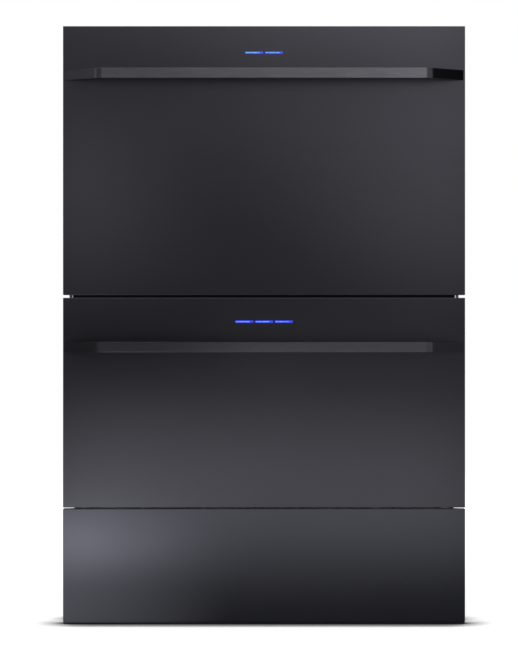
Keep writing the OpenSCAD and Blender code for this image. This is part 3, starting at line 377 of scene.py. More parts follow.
# %% Finish by node
finish_of = {
    "zinc_sheet": galvanised, "dark_plastic": black_plastic, "grey_plastic": grey_plastic,
    "white_plastic": white_plastic, "tub_plastic": tub_plastic, "coated_wire": wire_coat,
    "rubber": seal_rubber, "front_metal": anthracite, "blue_light": white_plastic,
}
slot_of = {row["node"]: row["material_slot"] for row in frame["record"]["subparts"]}

for name, node in nodes.items():
    finish = finish_of[slot_of[name]]
    if "runners" in name:
        finish = runner_zinc
    node.data.materials.clear()
    node.data.materials.append(finish)
print("dressed", len(nodes), "nodes")

# %% [markdown]
# ## Finish and place a piece
#
# Every piece ends in the same way: it gets its coat, the one given or else the finish of its
# material slot, it rides on the body that carries it, and it hides the measured node that it stands
# for.


# %% Finishing a piece
def finish_piece(piece, body, node, slot, coat=None):
    piece.data.materials.clear()
    piece.data.materials.append(coat or finish_of[slot])
    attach(piece, body)
    if node:
        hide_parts(node)
    return piece


bodies = frame["record"]["behaviour"]["bodies"]
print("bodies to ride on:", ", ".join(bodies))

# %% [markdown]
# ## Folded fronts
#
# Each front is one sheet with its four edges turned back. A block of the front's size loses its
# rear face, its edges are rounded as a press brake leaves them, and a Solidify modifier gives the
# sheet its thickness on the inside. A soft lip in the plinth's colour nearly closes the gap to
# the floor. The windows for the lights are cut with a Boolean in the next step.

# %% Fold the fronts
sheet_thickness = 0.0012
fold_radius = 0.0009


def open_box(name, low, high, open_axis, radius, thickness):
    box = add_block(name, low, high)
    pick(box, "FACE", lambda face: face.normal[open_axis] > 0.9)
    bpy.ops.mesh.delete(type="FACE")
    bevel_where(box, "EDGE", lambda edge: not edge.is_boundary, radius, 4)
    return modify(box, "SOLIDIFY", thickness=thickness, offset=-1, use_even_offset=True)


def folded_front(name, node, body, coat):
    front = open_box(name, *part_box(node), 1, fold_radius, sheet_thickness)
    return finish_piece(front, body, node, "front_metal", coat)


upper_front = folded_front("upper_front_sheet", "upper_front_panel", "upper_drawer", anthracite)
lower_front = folded_front("lower_front_sheet", "lower_front_panel", "lower_drawer", anthracite)
plinth = folded_front("plinth_sheet", "plinth_panel", "cabinet", plinth_coat)
print("fronts folded:", [len(p.data.polygons) for p in (upper_front, lower_front, plinth)])

# %% A soft lip under the plinth
lip_inset, lip_front, lip_back = 0.0005, 0.0004, 0.0024
above_floor, overlap = 0.0009, 0.002
low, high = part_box("plinth_panel")
lip = add_block("plinth_lip", (low.x + lip_inset, low.y + lip_front, above_floor),
                (high.x - lip_inset, low.y + lip_back, low.z + overlap))
modify(lip, "BEVEL", width=0.0006, segments=3)
finish_piece(lip, "cabinet", None, "front_metal", plinth_coat)
print("height of the lip that shows:", round(low.z - above_floor, 4))

# %% [markdown]
# ## Indicator lights
#
# Small lit bars show through the fronts above each handle, two on the upper drawer and three on
# the lower one. Each is a rounded lens, flush with the sheet, on a carrier behind it. The lens
# glows a deep blue, and a thin paler light guide runs along its middle.

# %% Lens finishes
def glowing(name, colour, deep, bright, stretch):
    finish = new_finish(name, colour, 0.25)
    _, links, shader = parts_of(finish)
    glow = two_tones(finish, add_noise(finish, 300, 1.5, stretch), deep, bright, 0.35, 0.65)
    links.new(glow, shader.inputs["Emission Color"])
    set_inputs(shader, Emission_Strength=1.0)
    return finish


lens_glow = glowing("blue_lens", (0.01, 0.015, 0.2), (0.018, 0.035, 0.62), (0.03, 0.06, 0.85),
                    (0.5, 1, 1))
guide_glow = glowing("pale_light_guide", (0.05, 0.1, 0.4), (0.06, 0.2, 0.9), (0.2, 0.5, 1.0),
                     (1, 1, 0.3))
print("lens finishes:", lens_glow.name, guide_glow.name)

# %% Lenses, carriers and their windows
light_width, light_height, light_space = 0.027, 0.0035, 0.0024
lens_depth, lens_corner, lens_edge = 0.0014, 0.0008, 0.00025
guide_share, guide_height, guide_inset = 0.8, 0.0012, 0.0012
guide_proud, guide_depth, guide_corner = 0.00005, 0.0004, 0.0004
window_gap, window_corner = 0.00015, 0.001
cut_before, cut_behind = 0.002, 0.004
carrier_back, carrier_corner = 0.0013, 0.002


def cut_away(piece, cutter):
    modify(piece, "BOOLEAN", object=cutter, operation="DIFFERENCE", solver="EXACT")
    bpy.data.objects.remove(cutter)
    return piece


def rounded_bar(name, low, high, radius, axis=1):
    def along_axis(edge):
        return abs(edge.verts[0].co[axis] - edge.verts[1].co[axis]) > 0.0002

    return bevel_where(add_block(name, low, high), "EDGE", along_axis, radius, 4)


def light_bars(drawer, count, front):
    low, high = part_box(drawer + "_lights")
    middle_x, _, middle_z = halfway(low, high)
    whole = count * light_width + (count - 1) * light_space
    face = low.y
    lenses, cutters = [], []
    for number in range(count):
        left = middle_x - whole / 2 + number * (light_width + light_space)
        corner = (left, face, middle_z - light_height / 2)
        far = (left + light_width, face + lens_depth, middle_z + light_height / 2)
        lens = rounded_bar("lens", corner, far, lens_corner)
        bevel_where(lens, "EDGE", lambda edge: all(end.co.y < face + 1e-5 for end in edge.verts),
                    lens_edge, 2)
        lens.data.materials.append(lens_glow)
        start = (left + guide_inset, face - guide_proud, middle_z - guide_height / 2)
        stop = (left + light_width * guide_share, face + guide_depth, middle_z + guide_height / 2)
        guide = rounded_bar("guide", start, stop, guide_corner)
        guide.data.materials.append(guide_glow)
        lenses.extend((lens, guide))
        start = (left - window_gap, face - cut_before, corner[2] - window_gap)
        stop = (far[0] + window_gap, face + cut_behind, far[2] + window_gap)
        cutters.append(rounded_bar("cutter", start, stop, window_corner))
    cut_away(front, join("window_cutter", cutters))
    carrier = rounded_bar("carrier", (low.x, face + carrier_back, low.z), high, carrier_corner)
    carrier.data.materials.append(black_plastic)
    bars = join(drawer + "_light_bars", [*lenses, carrier])
    smooth(bars)
    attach(bars, drawer + "_drawer")
    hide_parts(drawer + "_lights")
    return bars


upper_bars = light_bars("upper", 2, upper_front)
lower_bars = light_bars("lower", 3, lower_front)
for front in (upper_front, lower_front, plinth):
    keep_flat(front)
print("light bars:", upper_bars.name, lower_bars.name)

# %% [markdown]
# ## Strip handles
#
# A handle is a flat bar bent back at both ends, so its outline seen from above is a long
# trapezoid. Half of it is swept from one rectangle: straight out, round the bend with Spin, and
# along the slope until a Bisect cuts it where it meets the front. A Mirror modifier makes the
# other half.

# %% Sweep the handles
bar_thickness, bar_edge = 0.005, 0.0004
bend_radius = 0.024
handle_root = 0.2965
ramp_width = 0.052


def strip_handle(name, node, body):
    low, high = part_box(node)
    reach = high.y - low.y
    slope = math.atan2(reach, ramp_width)
    straight = handle_root - ramp_width - bend_radius * math.tan(slope / 2)
    let_go()
    middle = (0, low.y + bar_thickness / 2, (low.z + high.z) / 2)
    bpy.ops.mesh.primitive_plane_add(size=1, location=middle, rotation=(0, math.pi / 2, 0))
    bar = bpy.context.object
    bar.scale = (high.z - low.z, bar_thickness, 1)
    settle(bar, name)
    bpy.ops.object.mode_set(mode="EDIT")
    bpy.ops.mesh.select_all(action="SELECT")
    extrude((straight, 0, 0))
    bend_centre = (straight, low.y + bend_radius, 0)
    bpy.ops.mesh.spin(steps=10, angle=-slope, center=bend_centre, axis=(0, 0, 1))
    past_front = 2 * reach
    extrude((math.cos(slope) * past_front, math.sin(slope) * past_front, 0))
    bpy.ops.mesh.select_all(action="SELECT")
    bpy.ops.mesh.remove_doubles(threshold=1e-6)
    bpy.ops.mesh.bisect(plane_co=(0, high.y, 0), plane_no=(0, 1, 0), clear_outer=True,
                        use_fill=True)
    pick(bar, "FACE", lambda face: all(abs(v.co.x) < 1e-6 for v in face.verts))
    bpy.ops.mesh.delete(type="FACE")
    bpy.ops.mesh.select_mode(type="FACE")
    bpy.ops.mesh.select_all(action="DESELECT")
    bpy.ops.mesh.select_interior_faces()
    bpy.ops.mesh.delete(type="FACE")
    done_editing()
    modify(bar, "MIRROR", use_axis=(True, False, False), merge_threshold=0.00001)
    turn_outwards(bar)
    soften(bar, bar_edge, 60)
    keep_flat(bar)
    return finish_piece(bar, body, node, "front_metal", handle_coat)


upper_bar = strip_handle("upper_strip_handle", "upper_handle", "upper_drawer")
lower_bar = strip_handle("lower_strip_handle", "lower_handle", "lower_drawer")
print("handles:", [len(p.data.polygons) for p in (upper_bar, lower_bar)])

# %% [markdown]
# ## Bent wires
#
# The racks are welded from nylon-coated wire. Each real wire is bent cold, so every corner is a
# small arc. A wire starts as one point, is extruded from corner to corner, and its corners are
# bevelled. Turned into a curve, it takes a round section, and then it becomes a mesh again, whose
# end caps are merged with the tube.


# %% Bend a wire
def draw_line(name, start, steps):
    let_go()
    bpy.ops.mesh.primitive_plane_add(size=0.0002, location=start)
    line = settle(bpy.context.object, name)
    bpy.ops.object.mode_set(mode="EDIT")
    bpy.ops.mesh.select_mode(type="VERT")
    bpy.ops.mesh.select_all(action="SELECT")
    bpy.ops.mesh.merge(type="CENTER")
    bpy.ops.mesh.select_all(action="SELECT")
    for step in steps:
        extrude(step)
    return line


def bent_wire(name, points, diameter, bend=0.0):
    steps = [[b - a for a, b in zip(start, end)] for start, end in zip(points, points[1:])]
    wire = draw_line(name, points[0], steps)
    bpy.ops.mesh.select_all(action="SELECT")
    bpy.ops.mesh.remove_doubles(threshold=0.00001)
    if bend:
        pick(wire, "VERT", lambda corner: len(corner.link_edges) == 2)
        bpy.ops.mesh.bevel(affect="VERTICES", offset=bend, segments=4)
    done_editing()
    make_active(wire)
    bpy.ops.object.convert(target="CURVE")
    wire.data.bevel_depth = diameter / 2
    wire.data.bevel_resolution = 2
    wire.data.use_fill_caps = True
    bpy.ops.object.convert(target="MESH")
    merge_close(wire, 0.000001)
    done_editing()
    return smooth(wire, 40)


# %% [markdown]
# ## Racks
#
# A rack is a basket of hoops: long ones run from front to back and turn up at both ends, cross
# ones lie over them and turn up at the sides. A rim wire at the top and one at half height tie
# the hoops together. All stations come from the box of the measured rack.

# %% Rack hoops and rims
wire_thick, tine_thick = 0.004, 0.0035
cross_over = 0.0036
hoop_bend = 0.007
long_count, cross_count = 10, 8
Rack = namedtuple("Rack", "left right near far floor")


def rack_lines(node):
    low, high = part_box(node)
    half = wire_thick / 2
    return Rack(low.x + half, high.x - half, low.y + half, high.y - half, low.z + half)


def share(start, end, part):
    return start + (end - start) * part


def wire_rack(node, height):
    left, right, near, far, floor = rack_lines(node)
    top, middle = floor + height, floor + height / 2
    wires = []
    for k in range(long_count + 1):
        x = share(left, right, k / long_count)
        corners = [(x, near, top), (x, near, floor), (x, far, floor), (x, far, top)]
        wires.append(bent_wire("long_hoop", corners, wire_thick, hoop_bend))
    for k in range(1, cross_count):
        y = share(near, far, k / cross_count)
        z = floor + cross_over
        corners = [(left, y, top), (left, y, z), (right, y, z), (right, y, top)]
        wires.append(bent_wire("cross_hoop", corners, wire_thick, hoop_bend))
    for z in (middle, top):
        corners = [(left, near, z), (right, near, z), (right, far, z), (left, far, z)]
        wires.append(bent_wire("rim", corners + corners[:1], wire_thick, hoop_bend))
    return join(node + "_wires", wires)


upper_height, lower_height = 0.14, 0.095
upper_wires = wire_rack("upper_rack", upper_height)
lower_wires = wire_rack("lower_rack", lower_height)
print("rack faces:", len(upper_wires.data.polygons), len(lower_wires.data.polygons))

# %% [markdown]
# ## Tines
#
# Plates lean against tines: short upright wires with rounded tips, welded to one foot wire in
# each row. One tine is modelled, its tip is rounded by a bevel, and the others are copies of it.
# In the upper drawer two rows begin behind the cutlery basket.


# %% Rows of tines
tines_in_line, tip_radius = 11, 0.0012
row_end_gap, fold_end_gap = 0.02, 0.01


def tine_row(name, x, start, end, foot_z, height, places):
    pieces = [bent_wire(name, [(x, start, foot_z), (x, end, foot_z)], tine_thick)]
    tine = bent_wire("tine", [(x, places[0], foot_z), (x, places[0], foot_z + height)], tine_thick)
    bevel_where(tine, "FACE", lambda face: face.normal.z > 0.9, tip_radius, 3)
    pieces.append(smooth(tine, 50))
    for y in places[1:]:
        pieces.append(copy_of(tine, (0, y - places[0], 0)))
    return join(name, pieces)


def tine_places(rack, start, end):
    every = [share(rack.near, rack.far, (k + 0.5) / tines_in_line) for k in range(tines_in_line)]
    return [y for y in every if start + tine_thick < y < end - tine_thick]


def fixed_rows(drawer, height, rows):
    rack = rack_lines(drawer + "_rack")
    foot_z = rack.floor + cross_over + wire_thick / 2 + tine_thick / 2
    end = rack.far - row_end_gap
    made_rows = []
    for x_share, start in rows:
        places = tine_places(rack, start, end)
        tine_height = height - tine_thick / 2
        row = tine_row("row", x_share * rack.right, start, end, foot_z, tine_height, places)
        made_rows.append(row)
    return join(drawer + "_tine_rows", made_rows)


def folding_row(drawer, height):
    node = drawer + "_folding_tines"
    low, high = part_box(node)
    rack = rack_lines(drawer + "_rack")
    places = tine_places(rack, low.y + fold_end_gap, high.y - fold_end_gap)
    middle, foot_z = halfway(low, high)[0], low.z + tine_thick / 2
    row = tine_row(node + "_row", middle, low.y, high.y, foot_z, height, places)
    return finish_piece(row, node, node, "coated_wire")


upper_tine_height, lower_tine_height = 0.078, 0.056
behind_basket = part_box("cutlery_basket")[1].y + 0.006
row_start = rack_lines("upper_rack").near + row_end_gap
upper_rows = fixed_rows("upper", upper_tine_height,
                        [(-0.62, behind_basket), (-0.27, behind_basket), (0.42, row_start)])
lower_rows = fixed_rows("lower", lower_tine_height,
                        [(-0.55, row_start), (-0.2, row_start), (0.5, row_start)])
finish_piece(upper_wires, "upper_rack", "upper_rack", "coated_wire")
finish_piece(upper_rows, "upper_rack", "upper_tines", "coated_wire")
lower_wires = join("lower_rack_wires", [lower_wires, lower_rows])
finish_piece(lower_wires, "lower_rack", "lower_rack", "coated_wire")
upper_fold = folding_row("upper", upper_tine_height)
lower_fold = folding_row("lower", lower_tine_height)
print("tine rows:", [len(p.data.polygons) for p in (upper_rows, upper_fold, lower_fold)])

# %% [markdown]
# ## Clips
#
# Moulded clips snap over the rack's wires and hold the wires that turn. Each starts as a block
# with its edges rounded. Booleans cut the round seat of the turning wire, the narrower mouth
# above it and the seat of the wire that the clip straddles.


# %% Snap clips
def rod_cutter(middle, length, diameter, turn):
    let_go()
    bpy.ops.mesh.primitive_cylinder_add(vertices=24, radius=diameter / 2, depth=length,
                                        location=middle, rotation=turn)
    return settle(bpy.context.object, "rod_cutter")


along_y, along_x = (math.pi / 2, 0, 0), (0, math.pi / 2, 0)
clip_gap, straddle_gap = 0.0003, 0.0001
clip_half, clip_half_length = 0.00425, 0.0035
mouth_half, cutter_length = 0.0013, 0.03
shelf_fields = 8


def snap_clip(low, high, seat, straddled, straddled_turn):
    clip = add_block("clip", low, high)
    modify(clip, "BEVEL", width=0.0007, segments=3)
    cut_away(clip, rod_cutter(seat, cutter_length, tine_thick + clip_gap, along_y))
    x, y, z = seat
    mouth = add_block("mouth", (x - mouth_half, y - cutter_length, z),
                      (x + mouth_half, y + cutter_length, high[2] + 0.001))
    cut_away(clip, mouth)
    return cut_away(clip, rod_cutter(straddled, cutter_length, wire_thick + straddle_gap,
                                     straddled_turn))


def fold_clips(drawer):
    rack = rack_lines(drawer + "_rack")
    low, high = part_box(drawer + "_folding_tines")
    x, seat_z = halfway(low, high)[0], low.z + tine_thick / 2
    cross_z = rack.floor + cross_over
    clips = []
    for k in (2, cross_count - 2):
        y = share(rack.near, rack.far, k / cross_count)
        start = (x - clip_half, y - clip_half_length, cross_z)
        stop = (x + clip_half, y + clip_half_length, seat_z + clip_half)
        clips.append(snap_clip(start, stop, (x, y, seat_z), (x, y, cross_z), along_x))
    return clips


def shelf_clips():
    side = rack_lines("upper_rack").right
    low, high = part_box("upper_cup_shelf")
    seat_z = (low.z + high.z) / 2
    seat_x = high.x - tine_thick / 2
    length = high.y - low.y - tine_thick
    clips = []
    for part in (1.5 / shelf_fields, 6.5 / shelf_fields):
        y = low.y + tine_thick / 2 + length * part
        start = (seat_x - clip_half, y - clip_half_length, seat_z - clip_half)
        stop = (side, y + clip_half_length, seat_z + clip_half)
        clips.append(snap_clip(start, stop, (seat_x, y, seat_z), (side, y, seat_z), along_y))
    return clips


for drawer, extra in (("upper", shelf_clips), ("lower", list)):
    clips = join(drawer + "_rack_clips", fold_clips(drawer) + extra())
    finish_piece(clips, drawer + "_rack", None, "dark_plastic")
    smooth(clips, 30)
    print(clips.name, "faces:", len(clips.data.polygons))

# %% [markdown]
# ## Cup shelf
#
# The shelf is a flat grid: a closed frame with rounded corners, seven cross wires and one long
# wire along its middle. Its outer long wire is the axis that it turns up about.


# %% Weld the cup shelf
def cup_shelf():
    low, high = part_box("upper_cup_shelf")
    half = tine_thick / 2
    left, right, near, far = low.x + half, high.x - half, low.y + half, high.y - half
    z = (low.z + high.z) / 2
    corners = [(right, low.y, z), (right, far, z), (left, far, z), (left, near, z),
               (right, near, z)]
    wires = [bent_wire("frame", corners, tine_thick, 0.006)]
    middle = (left + right) / 2
    wires.append(bent_wire("long", [(middle, near, z), (middle, far, z)], tine_thick))
    for k in range(1, shelf_fields):
        y = share(near, far, k / shelf_fields)
        wires.append(bent_wire("cross", [(left, y, z), (right, y, z)], tine_thick))
    return finish_piece(join("cup_shelf_grid", wires), "upper_cup_shelf", "upper_cup_shelf",
                        "coated_wire")


shelf = cup_shelf()
print("cup shelf:", len(shelf.data.polygons))

# %% [markdown]
# ## Cutlery basket
#
# The basket is one moulding. A block loses its top and gets rounded corners and a wall thickness.
# Copies of one rounded bar cut the slots of its walls and copies of another the holes of its
# floor. A partition rises between the two halves to a handle, and a bead stiffens the rim.

# %% Mould the basket
basket_wall, basket_wall_height, rim_bend = 0.002, 0.092, 0.005
slots_in_line, slot_step, slot_rise = 10, 0.022, 0.038
slot_inset, slot_width, slot_height = 0.012, 0.008, 0.03
hole_length, hole_step = 0.012, 0.024
cut_past, bead_thick = 0.01, 0.0034
grip_half, grip_foot, finger_half = 0.03, 0.02, 0.022
finger_low, finger_high = 0.0165, 0.0055


def repeated(shape, shifts):
    return [shape] + [copy_of(shape, shift) for shift in shifts]


def cutlery_basket():
    low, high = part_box("cutlery_basket")
    top = low.z + basket_wall_height
    shell = open_box("shell", low, (high.x, high.y, top), 2, rim_bend, basket_wall)
    left, near, floor = low.x + slot_inset, low.y + slot_inset, low.z + slot_inset
    right = left + slot_width
    slot = rounded_bar("slot", (left, low.y - cut_past, floor),
                       (right, high.y + cut_past, floor + slot_height), 0.003)
    slots = repeated(slot, [(slot_step * k, 0, slot_rise * j)
                            for j in (0, 1) for k in range(slots_in_line) if j or k])
    hole = rounded_bar("hole", (left, near, low.z - cut_past),
                       (right, near + hole_length, low.z + cut_past), 0.002, 2)
    holes = repeated(hole, [(slot_step * k, hole_step * j, 0)
                            for j in range(3) for k in range(slots_in_line) if j or k])
    cut_away(shell, join("slots", slots + holes))
    x, y, _ = halfway(low, high)
    half = basket_wall / 2
    wall = add_block("wall", (x - half, low.y + half, low.z + half),
                     (x + half, high.y - half, top - 0.001))
    grip = rounded_bar("grip", (x - half, y - grip_half, low.z + grip_foot),
                       (x + half, y + grip_half, high.z), 0.009, 0)
    fingers = rounded_bar("fingers", (x - cut_past, y - finger_half, high.z - finger_low),
                          (x + cut_past, y + finger_half, high.z - finger_high), 0.0054, 0)
    soften(cut_away(grip, fingers), 0.0006, 60)
    corners = [(low.x + half, low.y + half, top), (high.x - half, low.y + half, top),
               (high.x - half, high.y - half, top), (low.x + half, high.y - half, top)]
    bead = bent_wire("bead", corners + corners[:1], bead_thick, rim_bend)
    basket = join("cutlery_basket_moulding", [shell, wall, grip, bead])
    keep_flat(basket, 35)
    return finish_piece(basket, "cutlery_basket", "cutlery_basket", "grey_plastic")


basket = cutlery_basket()
print("basket faces:", len(basket.data.polygons))

# %% [markdown]
# ## Mouldings with rounded edges
#
# A moulded part leaves its tool with every edge slightly round, and light along those edges is
# what makes it read as plastic. Each of these pieces is a copy of its measured node: the copy's
# triangles are merged, flat areas become single faces, and a bevel rounds what is left.


# %% Round the edges of a copy
def rounded_copy(node, width):
    piece = bpy.data.objects.new(node + "_moulding", nodes[node].data.copy())
    bpy.context.scene.collection.objects.link(piece)
    merge_close(piece, 0.00002)
    bpy.ops.mesh.dissolve_limited(angle_limit=math.radians(1))
    done_editing()
    soften(piece, width, 40)
    keep_flat(piece, 40)
    body = next(name for name, members in bodies.items() if node in members)
    return finish_piece(piece, body, node, slot_of[node], piece.data.materials[0])


drawer_edges = {
    "tub": 0.0012, "front_liner": 0.0008, "lid": 0.0008, "lid_seal": 0.0007, "wash_pump": 0.0009,
    "drain_pump": 0.0009, "filter_well": 0.0009, "filter": 0.0004, "dispenser": 0.0007,
    "dispenser_slide": 0.0004, "spray_arm": 0.0012,
}
cabinet_edges = {
    "control_box": 0.001, "lid_guides": 0.0006, "inlet_valve": 0.0007, "drain_outlet": 0.0006,
    "cable_gland": 0.0005, "leg_sleeves": 0.0005, "drip_tray": 0.0004, "mid_cross_rail": 0.0003,
    "outer_runners": 0.0003, "base_frame": 0.0004, "plinth_brackets": 0.0004,
    "connection_plate": 0.0004, "upper_middle_runners": 0.0003, "upper_inner_runners": 0.0003,
    "lower_middle_runners": 0.0003, "lower_inner_runners": 0.0003, "side_wall_left": 0.0002,
    "side_wall_right": 0.0002, "top_cover": 0.0002, "back_cover": 0.0002,
}
edges = {f"{drawer}_{part}": width
         for drawer in ("upper", "lower") for part, width in drawer_edges.items()}
mouldings = [rounded_copy(node, width) for node, width in {**edges, **cabinet_edges}.items()]
print("mouldings:", len(mouldings), "faces:", sum(len(piece.data.polygons) for piece in mouldings))

# %% [markdown]
# ## Screw feet
#
# Each foot is a moulded pad with a hexagon for the spanner under a threaded stud. The thread is a
# zigzag one turn high, which a Screw modifier winds upwards. Its turns are merged, and two
# Bisects cut the ends flat. The nose of the water inlet gets a short, finer thread in the same
# way.


# %% Wind a thread
def threaded_rod(name, length, radius, pitch, depth):
    zigzag = ((depth, 0, pitch / 2), (-depth, 0, pitch / 2))
    rod = draw_line(name, (radius - depth, 0, -pitch), zigzag)
    done_editing()
    turns = math.ceil(length / pitch) + 1
    modify(rod, "SCREW", screw_offset=pitch, iterations=turns, steps=16)
    for height, outwards in ((0, -1), (length, 1)):
        merge_close(rod, 0.00001)
        bpy.ops.mesh.bisect(plane_co=(0, 0, height), plane_no=(0, 0, outwards), clear_outer=True,
                            use_fill=True)
        done_editing()
    turn_outwards(rod)
    return smooth(rod, 50)


def placed(piece, place, turn=(0, 0, 0)):
    piece.location, piece.rotation_euler = place, turn
    return settle(piece, piece.name)


# %% Screw feet
pad_height, rim_height, cone_share = 0.01, 0.005, 0.6
hexagon_height, stud_start = 0.008, 0.006
stud_radius, stud_pitch, stud_depth = 0.006, 0.003, 0.0008


def upright(name, sides, radius, height, foot):
    let_go()
    bpy.ops.mesh.primitive_cylinder_add(vertices=sides, radius=radius, depth=height,
                                        location=(foot[0], foot[1], foot[2] + height / 2))
    return settle(bpy.context.object, name)


def screw_foot(node):
    low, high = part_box(node)
    x, y, _ = halfway(low, high)
    radius = (high.x - low.x) / 2
    pad_top = low.z + pad_height
    pad = upright("pad", 40, radius, rim_height, (x, y, low.z))
    pick(pad, "FACE", lambda face: face.normal.z > 0.9)
    extrude((0, 0, pad_top - low.z - rim_height))
    bpy.ops.transform.resize(value=(cone_share, cone_share, 1), center_override=(x, y, pad_top))
    done_editing()
    hexagon = upright("hexagon", 6, radius * cone_share, hexagon_height, (x, y, pad_top))
    for piece in (pad, hexagon):
        soften(piece, 0.0007, 25)
        keep_flat(piece, 30)
    stud_foot = pad_top + stud_start
    stud = threaded_rod("stud", high.z - stud_foot, stud_radius, stud_pitch, stud_depth)
    placed(stud, (x, y, stud_foot))
    foot = join(node + "_screw", [pad, hexagon, stud])
    return finish_piece(foot, node, node, "dark_plastic")


feet = [screw_foot(f"foot_{end}_{side}") for end in ("front", "back") for side in ("left", "right")]
print("feet:", len(feet), "faces each:", len(feet[0].data.polygons))

# %% Bores and thread of the water connections
nose_length, nose_radius, nose_pitch, nose_depth = 0.0105, 0.0141, 0.0018, 0.0011
nose_setback, nose_core = 0.0115, 0.0258
port_z = halfway(*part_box("drain_outlet"))[2]
ends = {}
for name, bore in (("inlet_valve", 0.018), ("drain_outlet", 0.015)):
    low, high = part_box(name)
    ends[name] = (halfway(low, high)[0], high.y, port_z)
    cut_away(bpy.data.objects[name + "_moulding"], rod_cutter(ends[name], 0.03, bore, along_y))
x, y, z = ends["inlet_valve"]
nose_thread = threaded_rod("inlet_thread", nose_length, nose_radius, nose_pitch, nose_depth)
placed(nose_thread, (x, y - nose_setback, z), (-math.pi / 2, 0, 0))
cut_away(nose_thread, rod_cutter((x, y, z), 0.05, nose_core, along_y))
finish_piece(nose_thread, "cabinet", None, "white_plastic")
print("inlet thread faces:", len(nose_thread.data.polygons))

# %% [markdown]
# ## Screws of the cabinet
#
# Low cross-head screws hold the covers and, through the side walls, the runners. One head is
# turned from a cylinder with a rounded rim, and two Booleans cut its cross. The others are copies
# of it, each turned to the sheet that it holds.


# %% Cross-head screws
head_radius = 0.0036
recess_half, recess_reach, recess_depth = 0.0004, 0.0021, 0.0005


def cross_head(name, height):
    head = upright(name, 20, head_radius, height, (0, 0, 0))
    bevel_where(head, "EDGE", lambda edge: all(end.co.z > height - 1e-5 for end in edge.verts),
                height / 2, 3)
    for x, y in ((recess_half, recess_reach), (recess_reach, recess_half)):
        cut_away(head, add_block("recess", (-x, -y, height - recess_depth), (x, y, height + 0.001)))
    return smooth(head)


def screws_at(name, height, places, turn):
    head = cross_head(name, height)
    heads = repeated(head, [(0, 0, 0)] * (len(places) - 1))
    return [placed(copy, place, turn) for copy, place in zip(heads, places)]


# %% Places of the screws
def ends_and_middle(low, high, inset):
    return (low + inset, (low + high) / 2, high - inset)


low_head, high_head = 0.0009, 0.0016
edge_x, edge_inset, row_inset = 0.272, 0.027, 0.012
low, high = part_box("back_cover")
rows = [low.z + edge_inset + k * (high.z - low.z - 2 * edge_inset) / 4 for k in range(5)]
back_places = [(x, high.y, z) for x in (-edge_x, edge_x) for z in rows]
back_places += [(x, high.y, z) for x in (-0.14, 0, 0.14)
                for z in (low.z + row_inset, high.z - row_inset)]
screws = screws_at("back_screw", low_head, back_places, (-math.pi / 2, 0, 0))

low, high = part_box("top_cover")
top_places = [(x, y, high.z) for x in (-0.279, 0.279) for y in ends_and_middle(low.y, high.y, 0.03)]
screws += screws_at("top_screw", high_head, top_places, (0, 0, 0))

side_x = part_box("side_wall_right")[1].x
runner_low, runner_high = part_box("outer_runners")
runner_boxes = [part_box(drawer + "_inner_runners") for drawer in ("upper", "lower")]
side_places = [(y, (low.z + high.z) / 2) for low, high in runner_boxes
               for y in ends_and_middle(runner_low.y, runner_high.y, 0.04)]
for sign in (-1, 1):
    places = [(sign * side_x, y, z) for y, z in side_places]
    screws += screws_at("side_screw", high_head, places, (0, sign * math.pi / 2, 0))
screws = finish_piece(join("cabinet_screws", screws), "cabinet", None, "zinc_sheet", runner_zinc)
print("screw faces:", len(screws.data.polygons))

# %% [markdown]
# ## Floor, backdrop and lights
#
# The background is plain white. The floor looks white to the camera but keeps the soft shadow
# under the plinth, and Ambient Occlusion deepens it where floor and plinth almost meet. The
# fronts are dark and glossy, so what they mirror decides how they look: cards in front, below and
# at the sides are seen only in reflections. The card in front is bright near the floor and
# towards its top, and soft spots lighten or darken parts of it.


# %% World
world = bpy.data.worlds.new("studio")
bpy.context.scene.world = world
world.use_nodes = True
made, links = world.node_tree.nodes, world.node_tree.links
made.clear()
room = set_inputs(made.new("ShaderNodeBackground"), Color=(0.75, 0.76, 0.78, 1), Strength=0.75)
white = set_inputs(made.new("ShaderNodeBackground"), Color=(1, 1, 1, 1), Strength=1.0)
rays = made.new("ShaderNodeLightPath")
choose = made.new("ShaderNodeMixShader")
output = made.new("ShaderNodeOutputWorld")
links.new(rays.outputs["Is Camera Ray"], choose.inputs["Fac"])
links.new(room.outputs["Background"], choose.inputs[1])
links.new(white.outputs["Background"], choose.inputs[2])
links.new(choose.outputs["Shader"], output.inputs["Surface"])
print("world:", world.name, "with", len(made), "nodes")


# %% Floor
def calculate(tree, operation, first, second):
    node = tree.nodes.new("ShaderNodeMath")
    node.operation = operation
    for socket, value in zip(node.inputs, (first, second)):
        if isinstance(value, (int, float)):
            socket.default_value = value
        else:
            tree.links.new(value, socket)
    return node.outputs["Value"]


let_go()
bpy.ops.mesh.primitive_plane_add(size=30, location=(0, 5, 0))
floor = bpy.context.object
floor.name = "floor"
floor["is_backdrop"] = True
paint = bpy.data.materials.new("floor_paint")
paint.use_nodes = True
made, links, shader = parts_of(paint)
set_inputs(shader, Roughness=0.9, Specular_IOR_Level=0.0)
bright = made.new("ShaderNodeEmission")
tree = paint.node_tree


def openness(distance):
    probe = set_inputs(made.new("ShaderNodeAmbientOcclusion"), Distance=distance)
    probe.samples = 8
    return probe.outputs["AO"]
